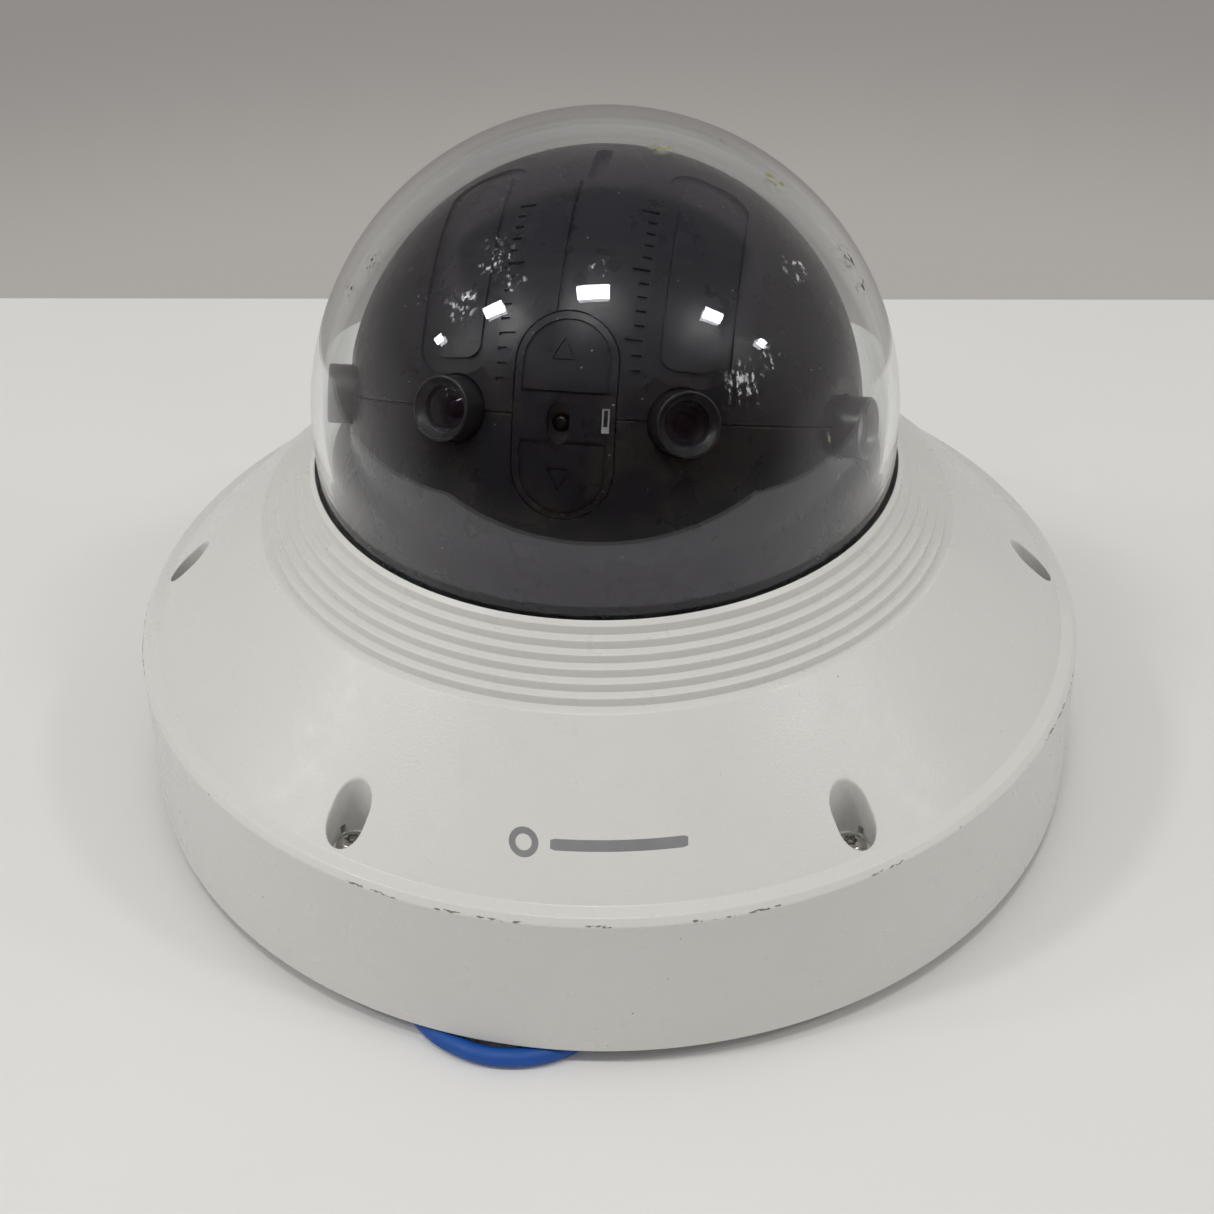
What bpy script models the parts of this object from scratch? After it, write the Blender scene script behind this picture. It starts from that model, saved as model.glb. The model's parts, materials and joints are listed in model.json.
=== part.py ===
"""Panoramic dome camera: a cast base and cover, a clear bubble, and a four-lens ball that pans and tilts.

Run with: blender --background --python part.py
Lengths below are millimetres and are scaled to metres as each mesh is made. +Z is up, the front is -Y,
and the origin is the centre of the base on the surface that it stands on.
"""
import math

import bmesh
import bpy
from mathutils import Matrix, Vector

MM = 0.001
GAP = 0.3                 # clearance kept between pieces that touch
SEG = 40                  # sides of the large turned pieces
BALL_SEG = 32

# --- cover: skirt, rim bevel and cone ---
SKIRT_R = 110.95
SKIRT_Z = 4.5
RIM_R = 109.4
RIM_Z = 38.95
BEVEL_R = 105.6
BEVEL_Z = 40.8
OPENING_R = 65.2
OPENING_Z = 78.85
WALL = 2.8
SEAT_Z = 68.9             # flat inside the cover that the bubble's gasket presses on
SEAT_R = 72.2

# --- six cover screws in oval pockets ---
SCREW_RING_R = 99.5
SCREW_AZ = [-150, -90, -30, 30, 90, 150]
POCKET_HALF_W = 4.1
POCKET_HALF_L = 5.2
POCKET_WALL = 2.2
POCKET_FLOOR_Z = 36.9
POST_FOOT_Z = 33.6
POST_DEPTH = 1.5              # from the cone's surface down to the post's top
SCREW_R = 1.95
SCREW_HEAD_R = 3.4
SCREW_TIP_Z = 22.2

# --- clear bubble and its clamp ring ---
BALL_Z = 88.3             # centre of the bubble, the ball and both joint axes
BUBBLE_R = 64.6
BUBBLE_WALL = 2.4
FLANGE_R = 71.5
FLANGE_Z = (64.5, 67.0)
GASKET_R = (66.0, 71.2)
GASKET_Z = (67.3, 68.6)
CLAMP_SCREW_R = 75.3
CLAMP_SCREW_AZ = [0, 60, 120, 180, 240, 300]
CLAMP_Z = (58.8, 61.5)
CLAMP_OUT_R = 78.6
CLAMP_LIP_R = (66.0, 71.7)

# --- lower case ---
CASE_R = 105.0
CASE_RIM_Z = 6.0
FLOOR_Z = (16.5, 19.5)
RECESS_R = 98.0
TUB_R = (86.5, 90.0)
TUB_TOP = 50.0
LEDGE_R = 84.0
LEDGE_Z = (44.5, 46.7)
BOSS_R = 5.2
BOSS_TOP = 33.3
FOOT_R = 7.0
FOOT_RING_R = 79.0
FOOT_AZ = [60, 180, 300]
FOOT_HOLE_R = 2.6
PEDESTAL_R = 22.0
PEDESTAL_Z = 24.5

# --- pan and tilt ---
PAN_REST = -7.6           # degrees round from the front, towards -X
TILT_REST = 28.4          # degrees that the lens plane looks up
BALL_R = 56.6
BALL_WALL = 2.2
BALL_OPENING_DIST = 27.0  # flat opening in the back of the ball's underside
BALL_OPENING_LEAN = 32.0
LENS_AZ = [-69.0, -23.0, 23.0, 69.0]
LENS_TIP = 60.8
LENS_ROOT = 33.4
BARREL_R = 6.3
BOARD_DIST = (31.5, 33.1)
CAPSULE_HALF_W = 9.75
CAPSULE_HALF_H = 19.6
ARM_X = (38.0, 41.0)
ARM_HALF_W = 6.0
EAR_X = (35.4, 37.4)
PIN_R = 3.0
TURNTABLE_R = 46.0
TURNTABLE_Z = (25.9, 28.9)
BOLT_R = 6.0

# --- main board and what stands on it ---
BOARD_R = (50.0, 82.0)
BOARD_Z = (22.0, 23.6)
BOARD_SCREW_R = 78.0
BOARD_SCREW_AZ = [35, 125, 235, 325]
ON_BOARD = BOARD_Z[1] + GAP

# --- network lead ---
LEAD_R = 2.0
LEAD_FLOOR = 2.05
BOOT_XY = (5.28, -32.0)
BOOT_AXIS_Z = 8.5
BOOT_REACH = 27.0
LEAD_STEP = 8.0
BEND_CENTRE = (-18.12, -87.04)
BEND_R = 23.4
PLUG_Z = 4.2


# ---------------------------------------------------------------- scene and materials
def clear_scene():
    for obj in list(bpy.data.objects):
        bpy.data.objects.remove(obj, do_unlink=True)


def material(name, colour, roughness, metallic=0.0, alpha=1.0):
    mat = bpy.data.materials.get(name) or bpy.data.materials.new(name)
    mat.use_nodes = True
    shader = mat.node_tree.nodes["Principled BSDF"]
    shader.inputs["Base Color"].default_value = (*colour, 1.0)
    shader.inputs["Roughness"].default_value = roughness
    shader.inputs["Metallic"].default_value = metallic
    shader.inputs["Alpha"].default_value = alpha
    return mat


def make_materials():
    return {
        "white_paint": material("white_paint", (0.60, 0.60, 0.57), 0.45),
        "black_plastic": material("black_plastic", (0.012, 0.012, 0.014), 0.25),
        "clear_plastic": material("clear_plastic", (0.9, 0.92, 0.92), 0.03, alpha=0.3),
        "lens_glass": material("lens_glass", (0.05, 0.03, 0.06), 0.02),
        "rubber": material("rubber", (0.02, 0.02, 0.02), 0.8),
        "steel": material("steel", (0.55, 0.54, 0.52), 0.3, metallic=1.0),
        "cast_case": material("cast_case", (0.42, 0.43, 0.43), 0.5, metallic=1.0),
        "circuit_board": material("circuit_board", (0.01, 0.09, 0.04), 0.5),
        "green_plastic": material("green_plastic", (0.02, 0.25, 0.06), 0.45),
        "aluminium": material("aluminium", (0.75, 0.75, 0.76), 0.35, metallic=1.0),
        "blue_jacket": material("blue_jacket", (0.01, 0.08, 0.42), 0.4),
        "plug_plastic": material("plug_plastic", (0.75, 0.78, 0.80), 0.15, alpha=0.5),
    }


# ---------------------------------------------------------------- shape helpers
def new_object(name, bm, mat=None):
    """Turn a bmesh in millimetres into an object in metres, closed, with its faces pointing out."""
    bmesh.ops.remove_doubles(bm, verts=bm.verts, dist=1e-4)
    bmesh.ops.recalc_face_normals(bm, faces=bm.faces)
    bmesh.ops.scale(bm, vec=(MM, MM, MM), verts=bm.verts)
    mesh = bpy.data.meshes.new(name)
    bm.to_mesh(mesh)
    bm.free()
    obj = bpy.data.objects.new(name, mesh)
    bpy.context.scene.collection.objects.link(obj)
    if mat:
        mesh.materials.append(mat)
    return obj


def turned(name, profile, mat=None, segments=SEG):
    """Spin a profile of (radius, height) points about Z. One that starts and ends at radius 0 is open."""
    bm = bmesh.new()
    verts = [bm.verts.new((r, 0.0, z)) for r, z in profile]
    pairs = list(zip(verts, verts[1:]))
    if profile[0][0] > 0 or profile[-1][0] > 0:
        pairs.append((verts[-1], verts[0]))
    edges = [bm.edges.new(pair) for pair in pairs]
    bmesh.ops.spin(bm, geom=verts + edges, cent=(0, 0, 0), axis=(0, 0, 1), angle=2 * math.pi,
                   steps=segments, use_merge=True, use_duplicate=False)
    return new_object(name, bm, mat)


def rod(name, start, end, radius, mat=None, sides=16, end_radius=None):
    """A round bar, or a cone frustum, between two points."""
    start, end = Vector(start), Vector(end)
    axis = end - start
    turn = Vector((0, 0, 1)).rotation_difference(axis).to_matrix().to_4x4()
    bm = bmesh.new()
    bmesh.ops.create_cone(bm, cap_ends=True, segments=sides, radius1=radius,
                          radius2=radius if end_radius is None else end_radius,
                          depth=axis.length, matrix=Matrix.Translation((start + end) / 2) @ turn)
    return new_object(name, bm, mat)


def block(name, low, high, mat=None):
    low, high = Vector(low), Vector(high)
    size = high - low
    bm = bmesh.new()
    place = Matrix.Translation((low + high) / 2) @ Matrix.Diagonal((size.x, size.y, size.z, 1.0))
    bmesh.ops.create_cube(bm, size=1.0, matrix=place)
    return new_object(name, bm, mat)


def slab(name, outline, low, high, mat=None):
    """Extrude a flat outline of (x, y) points from one height to another."""
    bm = bmesh.new()
    face = bm.faces.new([bm.verts.new((x, y, low)) for x, y in outline])
    grown = bmesh.ops.extrude_face_region(bm, geom=[face])
    top = [item for item in grown["geom"] if isinstance(item, bmesh.types.BMVert)]
    bmesh.ops.translate(bm, verts=top, vec=(0, 0, high - low))
    return new_object(name, bm, mat)


def stadium(half_x, half_y, steps=6):
    """Outline of a slot with round ends, longer along Y."""
    straight = half_y - half_x
    points = []
    for sign in (1, -1):
        for i in range(steps + 1):
            a = math.pi * i / steps + (0 if sign > 0 else math.pi)
            points.append((half_x * math.cos(a), half_x * math.sin(a) + sign * straight))
    return points


def around(azimuth, radius, z=0.0):
    """A point at an azimuth in degrees, 0 at the front (-Y) and 90 at +X."""
    a = math.radians(azimuth)
    return Vector((radius * math.sin(a), -radius * math.cos(a), z))


def apply_matrix(obj, matrix):
    obj.data.transform(matrix)
    return obj


def spin_to(obj, azimuth):
    """Turn a piece that was made at the front to an azimuth."""
    return apply_matrix(obj, Matrix.Rotation(math.radians(azimuth), 4, "Z"))


def combine(target, others, operation):
    """Join or cut a piece with others, which are used up."""
    for other in others:
        mod = target.modifiers.new(operation.lower(), "BOOLEAN")
        mod.object = other
        mod.operation = operation
        mod.solver = "EXACT"
    graph = bpy.context.evaluated_depsgraph_get()
    mesh = bpy.data.meshes.new_from_object(target.evaluated_get(graph))
    target.modifiers.clear()
    target.data = mesh
    for other in others:
        bpy.data.objects.remove(other, do_unlink=True)
    bm = bmesh.new()
    bm.from_mesh(mesh)
    bmesh.ops.remove_doubles(bm, verts=bm.verts, dist=2e-6)
    bmesh.ops.dissolve_degenerate(bm, edges=bm.edges, dist=2e-6)
    bm.to_mesh(mesh)
    bm.free()
    return target


def add(target, *others):
    return combine(target, list(others), "UNION")


def cut(target, *others):
    return combine(target, list(others), "DIFFERENCE")


def smooth_all(angle=35.0):
    for obj in bpy.data.objects:
        if obj.type == "MESH":
            obj.data.shade_smooth()
            obj.data.set_sharp_from_angle(angle=math.radians(angle))


def screw(name, centre, head_z, head_h, head_r, shank_r, tip_z, mat, head_up=True):
    """A vertical screw with a hexagonal socket. The head stands above head_z, or hangs below it."""
    x, y = centre
    way = 1 if head_up else -1
    top = head_z + way * head_h
    piece = rod(name, (x, y, head_z), (x, y, top), head_r, mat, sides=12)
    shank = rod("shank", (x, y, tip_z), (x, y, head_z + way * 0.2), shank_r, sides=8)
    socket = rod("socket", (x, y, top - way * head_h * 0.6), (x, y, top + way), head_r * 0.48, sides=6)
    return cut(add(piece, shank), socket)


# ---------------------------------------------------------------- cover group
def cone_outer_z(r):
    slope = (OPENING_Z - BEVEL_Z) / (BEVEL_R - OPENING_R)
    return OPENING_Z - (r - OPENING_R) * slope


def cone_inner_z(r):
    slope = (OPENING_Z - BEVEL_Z) / (BEVEL_R - OPENING_R)
    return cone_outer_z(r) - WALL * math.sqrt(1 + slope * slope)


def pocket_post(azimuth):
    """Wall round a screw pocket, from its foot up into the middle of the cone's wall."""
    outline = [(x, y - SCREW_RING_R) for x, y in
               stadium(POCKET_HALF_W + POCKET_WALL, POCKET_HALF_L + POCKET_WALL)]
    bm = bmesh.new()
    low = [bm.verts.new((x, y, POST_FOOT_Z)) for x, y in outline]
    high = [bm.verts.new((x, y, cone_outer_z(math.hypot(x, y)) - POST_DEPTH)) for x, y in outline]
    bm.faces.new(low)
    bm.faces.new(high)
    for k in range(len(outline)):
        bm.faces.new((low[k - 1], low[k], high[k], high[k - 1]))
    return spin_to(new_object("post", bm), azimuth)


def make_top_cover(mats):
    inner_corner_r = BEVEL_R - 2.2
    profile = [
        (OPENING_R, SEAT_Z), (OPENING_R, OPENING_Z), (BEVEL_R, BEVEL_Z), (RIM_R - 1.2, BEVEL_Z - 0.5),
        (RIM_R, RIM_Z), (SKIRT_R, SKIRT_Z), (SKIRT_R - WALL, SKIRT_Z), (RIM_R - WALL, RIM_Z - 2.0),
        (inner_corner_r, cone_inner_z(inner_corner_r)), (SEAT_R, cone_inner_z(SEAT_R)), (SEAT_R, SEAT_Z),
    ]
    cover = turned("top_cover", profile, mats["white_paint"])
    posts, pockets, bosses, pilots = [], [], [], []
    for az in SCREW_AZ:
        pocket = slab("pocket", stadium(POCKET_HALF_W, POCKET_HALF_L), POCKET_FLOOR_Z, OPENING_Z)
        apply_matrix(pocket, Matrix.Translation((0, -SCREW_RING_R * MM, 0)))
        posts.append(pocket_post(az))
        pockets.append(spin_to(pocket, az))
        low = around(az, SCREW_RING_R, POST_FOOT_Z - 2)
        pilots.append(rod("pilot", low, around(az, SCREW_RING_R, POCKET_FLOOR_Z + 1), SCREW_R + GAP, sides=12))
    for az in CLAMP_SCREW_AZ:
        top = cone_inner_z(CLAMP_SCREW_R) + 0.5
        bosses.append(rod("boss", around(az, CLAMP_SCREW_R, CLAMP_Z[1] + GAP),
                          around(az, CLAMP_SCREW_R, top), 3.2, sides=12))
        pilots.append(rod("pilot", around(az, CLAMP_SCREW_R, CLAMP_Z[1] - 1),
                          around(az, CLAMP_SCREW_R, CLAMP_Z[1] + 3.6), 1.5, sides=10))
    add(cover, *posts, *bosses)
    cut(cover, *pockets, *pilots)
    return cover


def make_bubble_group(mats):
    inner_r = BUBBLE_R - BUBBLE_WALL
    steps = 8
    angles = [math.pi / 2 * i / steps for i in range(steps + 1)]
    outer = [(BUBBLE_R * math.cos(a), BALL_Z + BUBBLE_R * math.sin(a)) for a in angles[:-1]]
    inner = [(inner_r * math.cos(a), BALL_Z + inner_r * math.sin(a)) for a in angles[:-1]]
    profile = [(0, BALL_Z + BUBBLE_R)] + outer[::-1]
    profile += [(BUBBLE_R, FLANGE_Z[1]), (FLANGE_R, FLANGE_Z[1]), (FLANGE_R, FLANGE_Z[0]), (inner_r, FLANGE_Z[0])]
    profile += inner + [(0, BALL_Z + inner_r)]
    turned("dome_bubble", profile, mats["clear_plastic"])
    turned("dome_gasket", [(GASKET_R[0], GASKET_Z[0]), (GASKET_R[0], GASKET_Z[1]),
                           (GASKET_R[1], GASKET_Z[1]), (GASKET_R[1], GASKET_Z[0])], mats["rubber"])
    lip_top = FLANGE_Z[0] - GAP
    ring = turned("dome_clamp_ring", [
        (CLAMP_LIP_R[0], CLAMP_Z[0]), (CLAMP_LIP_R[0], lip_top), (CLAMP_LIP_R[1], lip_top),
        (CLAMP_LIP_R[1], CLAMP_Z[1]), (CLAMP_OUT_R, CLAMP_Z[1]), (CLAMP_OUT_R, CLAMP_Z[0])], mats["aluminium"])
    holes = [rod("hole", around(az, CLAMP_SCREW_R, CLAMP_Z[0] - 1), around(az, CLAMP_SCREW_R, CLAMP_Z[1] + 1),
                 1.5, sides=10) for az in CLAMP_SCREW_AZ]
    cut(ring, *holes)
    for i, az in enumerate(CLAMP_SCREW_AZ):
        x, y, _ = around(az, CLAMP_SCREW_R)
        screw(f"clamp_screw_{i + 1}", (x, y), CLAMP_Z[0] - GAP, 1.6, 2.3, 1.15, CLAMP_Z[1] + 3.2,
              mats["steel"], head_up=False)


def make_cover_screws(mats):
    for i, az in enumerate(SCREW_AZ):
        x, y, _ = around(az, SCREW_RING_R)
        screw(f"cover_screw_{i + 1}", (x, y), POCKET_FLOOR_Z + GAP, 2.2, SCREW_HEAD_R, SCREW_R,
              SCREW_TIP_Z, mats["steel"])


# ---------------------------------------------------------------- base group
def make_lower_case(mats):
    profile = [
        (0, FLOOR_Z[0]), (RECESS_R, FLOOR_Z[0]), (RECESS_R, CASE_RIM_Z), (CASE_R, CASE_RIM_Z),
        (CASE_R, FLOOR_Z[1]), (TUB_R[1], FLOOR_Z[1]), (TUB_R[1], TUB_TOP), (TUB_R[0], TUB_TOP),
        (TUB_R[0], LEDGE_Z[1]), (LEDGE_R, LEDGE_Z[1]), (LEDGE_R, LEDGE_Z[0]), (TUB_R[0], LEDGE_Z[0] - 2.5),
        (TUB_R[0], FLOOR_Z[1]), (0, FLOOR_Z[1]),
    ]
    case = turned("lower_case", profile, mats["cast_case"])
    solids, holes = [], []
    under = FLOOR_Z[0] + 1.0
    for az in SCREW_AZ:
        solids.append(rod("boss", around(az, SCREW_RING_R, under), around(az, SCREW_RING_R, BOSS_TOP), BOSS_R))
        holes.append(rod("bore", around(az, SCREW_RING_R, SCREW_TIP_Z - 0.7),
                         around(az, SCREW_RING_R, BOSS_TOP + 1), SCREW_R + GAP, sides=12))
    for az in FOOT_AZ:
        solids.append(rod("foot", around(az, FOOT_RING_R, 0), around(az, FOOT_RING_R, under), FOOT_R))
        holes.append(rod("slot", around(az, FOOT_RING_R, -1), around(az, FOOT_RING_R, FLOOR_Z[1] + 1),
                         FOOT_HOLE_R, sides=12))
    for az in BOARD_SCREW_AZ:
        top = BOARD_Z[0] - GAP
        solids.append(rod("standoff", around(az, BOARD_SCREW_R, under), around(az, BOARD_SCREW_R, top), 3.2))
        holes.append(rod("bore", around(az, BOARD_SCREW_R, FLOOR_Z[0] + 2.0), around(az, BOARD_SCREW_R, top + 1),
                         1.5, sides=10))
    solids.append(rod("pedestal", (0, 0, under), (0, 0, PEDESTAL_Z), PEDESTAL_R, sides=32))
    holes.append(rod("bore", (0, 0, FLOOR_Z[1] + 0.4), (0, 0, PEDESTAL_Z + 1), BOLT_R + GAP, sides=24))
    holes.append(rod("gland", (*BOOT_XY, FLOOR_Z[0] - 1), (*BOOT_XY, FLOOR_Z[1] + 1), 6.0))
    add(case, *solids)
    cut(case, *holes)
    seal_r = (86.7, 88.8)
    turned("cover_seal", [(seal_r[0], TUB_TOP + GAP), (seal_r[0], TUB_TOP + 2.4),
                          (seal_r[1], TUB_TOP + 2.4), (seal_r[1], TUB_TOP + GAP)], mats["rubber"])
    collar = (59.0, 60.6)
    plate = (LEDGE_Z[1] + GAP, LEDGE_Z[1] + GAP + 1.6)
    turned("inner_liner", [
        (collar[0], plate[0]), (collar[0], 57.5), (collar[1], 57.5), (collar[1], plate[1]),
        (TUB_R[0] - GAP - 0.2, plate[1]), (TUB_R[0] - GAP - 0.2, plate[0])], mats["black_plastic"])


def board_piece(name, azimuth, radius, size, height, mat, lift=ON_BOARD):
    """A block that stands on the main board: size is (across, out from the centre)."""
    across, out = size
    piece = block(name, (-across / 2, -radius - out / 2, lift), (across / 2, -radius + out / 2, lift + height), mat)
    return spin_to(piece, azimuth)


def make_main_board(mats):
    board = turned("main_board", [(BOARD_R[0], BOARD_Z[0]), (BOARD_R[0], BOARD_Z[1]),
                                  (BOARD_R[1], BOARD_Z[1]), (BOARD_R[1], BOARD_Z[0])], mats["circuit_board"])
    holes = [rod("hole", around(az, BOARD_SCREW_R, BOARD_Z[0] - 1), around(az, BOARD_SCREW_R, BOARD_Z[1] + 1),
                 1.6, sides=10) for az in BOARD_SCREW_AZ]
    cut(board, *holes)
    for i, az in enumerate(BOARD_SCREW_AZ):
        x, y, _ = around(az, BOARD_SCREW_R)
        screw(f"board_screw_{i + 1}", (x, y), ON_BOARD, 1.6, 2.6, 1.2, FLOOR_Z[0] + 2.4, mats["steel"])

    jack = board_piece("network_jack", 180, 67, (16.0, 21.0), 13.5, mats["steel"])
    cut(jack, block("socket", (-5.9, 50.0, ON_BOARD + 2.6), (5.9, 72.0, ON_BOARD + 10.6)))

    power = board_piece("power_terminal", 145, 68, (10.2, 8.0), 10.0, mats["green_plastic"])
    wells = [spin_to(rod("well", (x, -68, ON_BOARD + 6), (x, -68, ON_BOARD + 11), 1.5, sides=10), 145)
             for x in (-2.5, 2.5)]
    cut(power, *wells)
    alarm = board_piece("alarm_terminal", 90, 68, (20.4, 8.0), 10.0, mats["green_plastic"])
    wells = [spin_to(rod("well", (x, -68, ON_BOARD + 6), (x, -68, ON_BOARD + 11), 1.5, sides=10), 90)
             for x in (-7.5, -2.5, 2.5, 7.5)]
    cut(alarm, *wells)

    slot = board_piece("card_slot", 215, 66, (14.6, 15.0), 2.4, mats["steel"])
    mouth = board_piece("mouth", 215, 64.5, (11.8, 16.0), 1.2, None, lift=ON_BOARD + 0.6)
    cut(slot, mouth)
    board_piece("memory_card", 215, 63.9, (11.0, 15.0), 0.7, mats["black_plastic"], lift=ON_BOARD + 0.9)

    switch = board_piece("reset_switch", 265, 66, (6.0, 6.0), 3.5, mats["black_plastic"])
    spot = around(265, 66)
    well = rod("well", (spot.x, spot.y, ON_BOARD + 1.4), (spot.x, spot.y, ON_BOARD + 5), 2.05)
    cut(switch, well)
    rod("reset_button", (spot.x, spot.y, ON_BOARD + 2.3), (spot.x, spot.y, ON_BOARD + 5.0), 1.75,
        mats["plug_plastic"], sides=12)

    sink = board_piece("heat_sink", 0, 66, (28.0, 24.0), 10.0, mats["aluminium"])
    channels = []
    for i in range(5):
        x = -10.4 + 5.2 * i
        channels.append(block("channel", (x - 1.5, -80, ON_BOARD + 2.5), (x + 1.5, -52, ON_BOARD + 11)))
    cut(sink, *channels)


def make_pan_base(mats):
    washer = (PEDESTAL_Z + GAP, TURNTABLE_Z[0] - GAP)
    turned("friction_washer", [(BOLT_R + 0.6, washer[0]), (BOLT_R + 0.6, washer[1]),
                               (PEDESTAL_R - 1, washer[1]), (PEDESTAL_R - 1, washer[0])],
           mats["plug_plastic"], segments=32)
    seat = TURNTABLE_Z[1] + GAP
    bolt = turned("pan_pivot_bolt", [(0, FLOOR_Z[1] + 0.8), (BOLT_R, FLOOR_Z[1] + 0.8), (BOLT_R, seat),
                                     (10.0, seat), (10.0, seat + 2.0), (0, seat + 2.0)], mats["steel"], segments=24)
    cut(bolt, rod("socket", (0, 0, seat - 2), (0, 0, seat + 3), 3.4, sides=6))


# ---------------------------------------------------------------- pan group, made facing the front
def make_pan_group(mats):
    table = turned("pan_turntable", [(BOLT_R + GAP, TURNTABLE_Z[0]), (BOLT_R + GAP, TURNTABLE_Z[1]),
                                     (TURNTABLE_R, TURNTABLE_Z[1]), (TURNTABLE_R, TURNTABLE_Z[0])],
                   mats["black_plastic"], segments=48)
    foot_z = (TURNTABLE_Z[1] + GAP, TURNTABLE_Z[1] + GAP + 2.0)
    pieces = [table]
    for side, label in ((-1, "left"), (1, "right")):
        inner, outer = side * ARM_X[0], side * ARM_X[1]
        arm = block(f"yoke_arm_{label}", (min(inner, outer), -ARM_HALF_W, foot_z[0]),
                    (max(inner, outer), ARM_HALF_W, BALL_Z), mats["steel"])
        eye = rod("eye", (inner, 0, BALL_Z), (outer, 0, BALL_Z), ARM_HALF_W)
        tab_x = sorted((side * 28.0, side * (ARM_X[0] + 0.5)))
        tab = block("tab", (tab_x[0], -8, foot_z[0]), (tab_x[1], 8, foot_z[1]))
        bore = rod("bore", (side * 30, 0, BALL_Z), (side * 45, 0, BALL_Z), PIN_R + GAP)
        cut(add(arm, eye, tab), bore)
        pin = rod(f"tilt_pin_{label}", (side * (EAR_X[0] + 0.2), 0, BALL_Z), (side * (ARM_X[1] + 0.6), 0, BALL_Z),
                  PIN_R, mats["steel"])
        head = rod("head", (side * (ARM_X[1] + GAP), 0, BALL_Z), (side * (ARM_X[1] + 1.8), 0, BALL_Z), 5.0)
        add(pin, head)
        pieces += [arm, pin]
    return pieces


# ---------------------------------------------------------------- tilting ball, made level about the origin
def shell_band(low_deg, high_deg, steps=7):
    """Half section of the ball's shell between two latitudes in degrees."""
    angles = [math.radians(low_deg + (high_deg - low_deg) * i / steps) for i in range(steps + 1)]
    inner_r = BALL_R - BALL_WALL
    outer = [(BALL_R * math.cos(a), BALL_R * math.sin(a)) for a in angles]
    inner = [(inner_r * math.cos(a), inner_r * math.sin(a)) for a in reversed(angles)]
    return [(0.0 if r < 1e-6 else r, z) for r, z in outer + inner]


def half_shell(name, way, high_deg):
    """Shell on one side of the lens plane, which is the seam: way is 1 above it and -1 below."""
    profile = [(r, way * max(z, GAP / 2)) for r, z in shell_band(0, high_deg)]
    return turned(name, profile, segments=BALL_SEG)


def opening_cutter():
    """The space behind the flat opening that the yoke arms come in through."""
    size = 140.0
    piece = block("opening", (-size / 2, -size / 2, -size - BALL_OPENING_DIST),
                  (size / 2, size / 2, -BALL_OPENING_DIST))
    return apply_matrix(piece, Matrix.Rotation(math.radians(BALL_OPENING_LEAN), 4, "X"))


def capsule_prism(grow, near=-60.0, far=-48.0):
    """A prism with round ends that stands for the lock plate's outline, seen from the front."""
    outline = stadium(CAPSULE_HALF_W + grow, CAPSULE_HALF_H + grow, steps=8)
    prism = slab("capsule", outline, -near, -far)
    return apply_matrix(prism, Matrix.Rotation(math.radians(90), 4, "X"))


def make_ball_shells(mats):
    upper = half_shell("ball_shell_upper", 1, 90)
    lower = half_shell("ball_shell_lower", -1, 80)
    for shell in (upper, lower):
        shell.data.materials.append(mats["black_plastic"])
        cutters = [rod("lens_hole", around(az, 45), around(az, 65), BARREL_R + 0.45, sides=20) for az in LENS_AZ]
        cut(shell, *cutters, capsule_prism(GAP), opening_cutter())
    plate = turned("tilt_lock_plate", shell_band(-26, 26), mats["black_plastic"], segments=BALL_SEG)
    combine(plate, [capsule_prism(0.0)], "INTERSECT")
    hole = slab("hole", stadium(2.15, 4.0), 48, 60)
    apply_matrix(hole, Matrix.Rotation(math.radians(90), 4, "X"))
    apply_matrix(hole, Matrix.Translation((-1.0 * MM, 0, -1.3 * MM)))
    cut(plate, hole)
    return [upper, lower, plate]


def make_sensor_frame(mats):
    plate_z = (-9.5, -7.5)
    outline = [(34.0 * math.sin(math.radians(a)), -34.0 * math.cos(math.radians(a))) for a in range(-90, 91, 15)]
    outline += [(37.4, 5.5), (-37.4, 5.5)]
    frame = slab("sensor_frame", outline, *plate_z, mats["aluminium"])
    tongue = block("tongue", (-5, -49, plate_z[0]), (5, -20, plate_z[1]))
    lug = block("lug", (-5, -49, plate_z[0]), (5, -45, 3.0))
    ears = []
    for side in (-1, 1):
        x = sorted((side * EAR_X[0], side * EAR_X[1]))
        ears.append(block("ear", (x[0], -5.5, plate_z[0]), (x[1], 5.5, 5.5)))
    add(frame, tongue, lug, *ears)
    bores = [rod("bore", (side * 33, 0, 0), (side * 40, 0, 0), PIN_R + GAP) for side in (-1, 1)]
    bores.append(rod("bore", (-1, -50, -1.3), (-1, -44, -1.3), 1.3, sides=10))
    cut(frame, *bores)
    return frame


def make_lens_modules(mats):
    pieces = []
    for i, az in enumerate(LENS_AZ):
        barrel = rod(f"lens_barrel_{i + 1}", around(az, LENS_ROOT), around(az, LENS_TIP), BARREL_R,
                     mats["black_plastic"], sides=24)
        bore = rod("bore", around(az, LENS_TIP - 4.0), around(az, LENS_TIP + 1), 4.75, sides=24)
        cut(barrel, bore)
        glass = rod(f"lens_glass_{i + 1}", around(az, LENS_TIP - 3.7), around(az, LENS_TIP - 1.2), 4.4,
                    mats["lens_glass"], sides=24, end_radius=3.6)
        board = block(f"sensor_board_{i + 1}", (-9, -BOARD_DIST[1], -7.2), (9, -BOARD_DIST[0], 9.0),
                      mats["circuit_board"])
        spin_to(board, az)
        pieces += [barrel, glass, board]
    return pieces


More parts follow.
